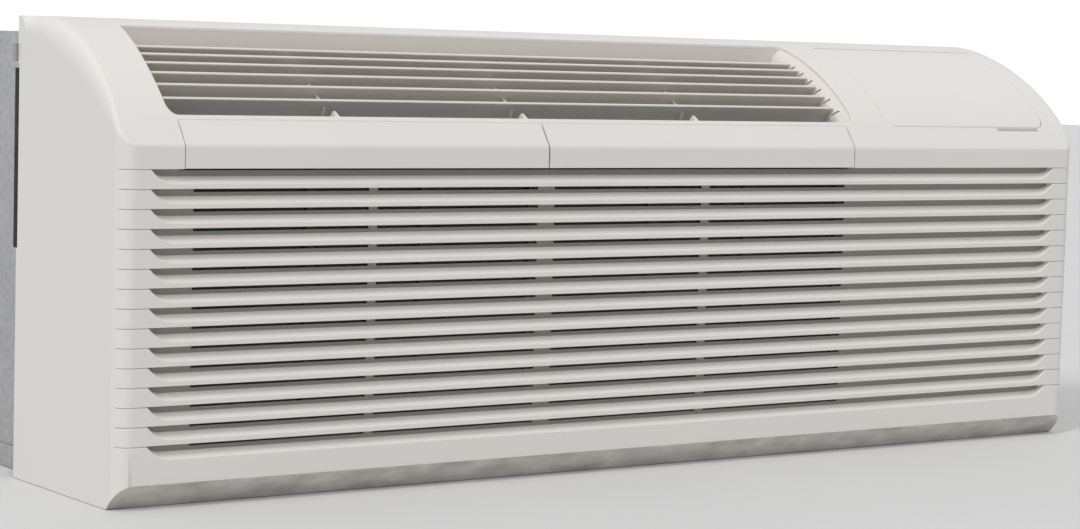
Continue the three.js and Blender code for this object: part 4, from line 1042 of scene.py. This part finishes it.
def make_world():
    """Soft sky, brighter overhead, with a white backdrop behind the object."""
    world = bpy.data.worlds.new("studio")
    bpy.context.scene.world = world
    world.use_nodes = True
    tree = world.node_tree
    split = tree.nodes.new("ShaderNodeSeparateXYZ")
    tree.links.new(tree.nodes.new("ShaderNodeTexCoord").outputs["Generated"], split.inputs["Vector"])

    def ramp(axis, start, stop, low, high):
        made = tree.nodes.new("ShaderNodeMapRange")
        for name, value in (("From Min", start), ("From Max", stop), ("To Min", low), ("To Max", high)):
            made.inputs[name].default_value = value
        tree.links.new(split.outputs[axis], made.inputs["Value"])
        return made.outputs["Result"]

    def combine(how, first, second):
        made = tree.nodes.new("ShaderNodeMath")
        made.operation = how
        tree.links.new(first, made.inputs[0])
        tree.links.new(second, made.inputs[1])
        return made.outputs["Value"]

    backdrop = combine("MULTIPLY", ramp("Y", 0.35, 0.6, 0, 1), ramp("Z", 0.1, 0.4, 1, 0))
    glow = combine("MULTIPLY", backdrop, ramp("Z", 0, 0.4, 0.95, 0))
    total = combine("ADD", ramp("Z", 0, 0.9, 0.12, 0.84), glow)
    tree.links.new(total, tree.nodes["Background"].inputs["Strength"])
    tree.nodes["Background"].inputs["Color"].default_value = (1, 1, 1, 1)


LIGHT_SPREAD = 15.0


def make_light(name, turn, height, strength):
    """Wide soft light from far away: degrees to the left of straight ahead, and degrees up."""
    data = bpy.data.lights.new(name, "SUN")
    data.energy = strength
    data.angle = math.radians(LIGHT_SPREAD)
    light = bpy.data.objects.new(name, data)
    bpy.context.scene.collection.objects.link(light)
    turn, height = math.radians(turn), math.radians(height)
    way = Vector((-math.sin(turn) * math.cos(height), -math.cos(turn) * math.cos(height), math.sin(height)))
    light.matrix_world = Matrix.Translation(way * 4) @ way.to_track_quat("Z", "Y").to_matrix().to_4x4()


CAMERA_PLACE = Vector((-1.4726, -2.1604, 0.3720))
CAMERA_YAW = math.radians(35.40)  # from straight ahead towards the right
CAMERA_PITCH = math.radians(4.51)  # downwards
CAMERA_ROLL = math.radians(1.63)
CAMERA_LENS = 88.47


def make_camera():
    data = bpy.data.cameras.new("camera")
    data.lens = CAMERA_LENS
    data.sensor_width = 36
    data.clip_start, data.clip_end = 0.05, 60
    camera = bpy.data.objects.new("camera", data)
    bpy.context.scene.collection.objects.link(camera)
    yaw, pitch, roll = CAMERA_YAW, CAMERA_PITCH, CAMERA_ROLL
    ahead = Vector((math.sin(yaw) * math.cos(pitch), math.cos(yaw) * math.cos(pitch), -math.sin(pitch)))
    level = Vector((math.cos(yaw), -math.sin(yaw), 0))
    above = level.cross(ahead)
    right = math.cos(roll) * level + math.sin(roll) * above
    up = -math.sin(roll) * level + math.cos(roll) * above
    turn = Matrix((right, up, -ahead)).transposed().to_4x4()
    camera.matrix_world = Matrix.Translation(CAMERA_PLACE) @ turn
    bpy.context.scene.camera = camera


make_camera()
build_object()
make_floor()
make_world()
make_light("front_light", 20, 42, 0.56)
make_light("left_light", 70, 45, 0.94)
bpy.context.scene.view_settings.view_transform = "Standard"
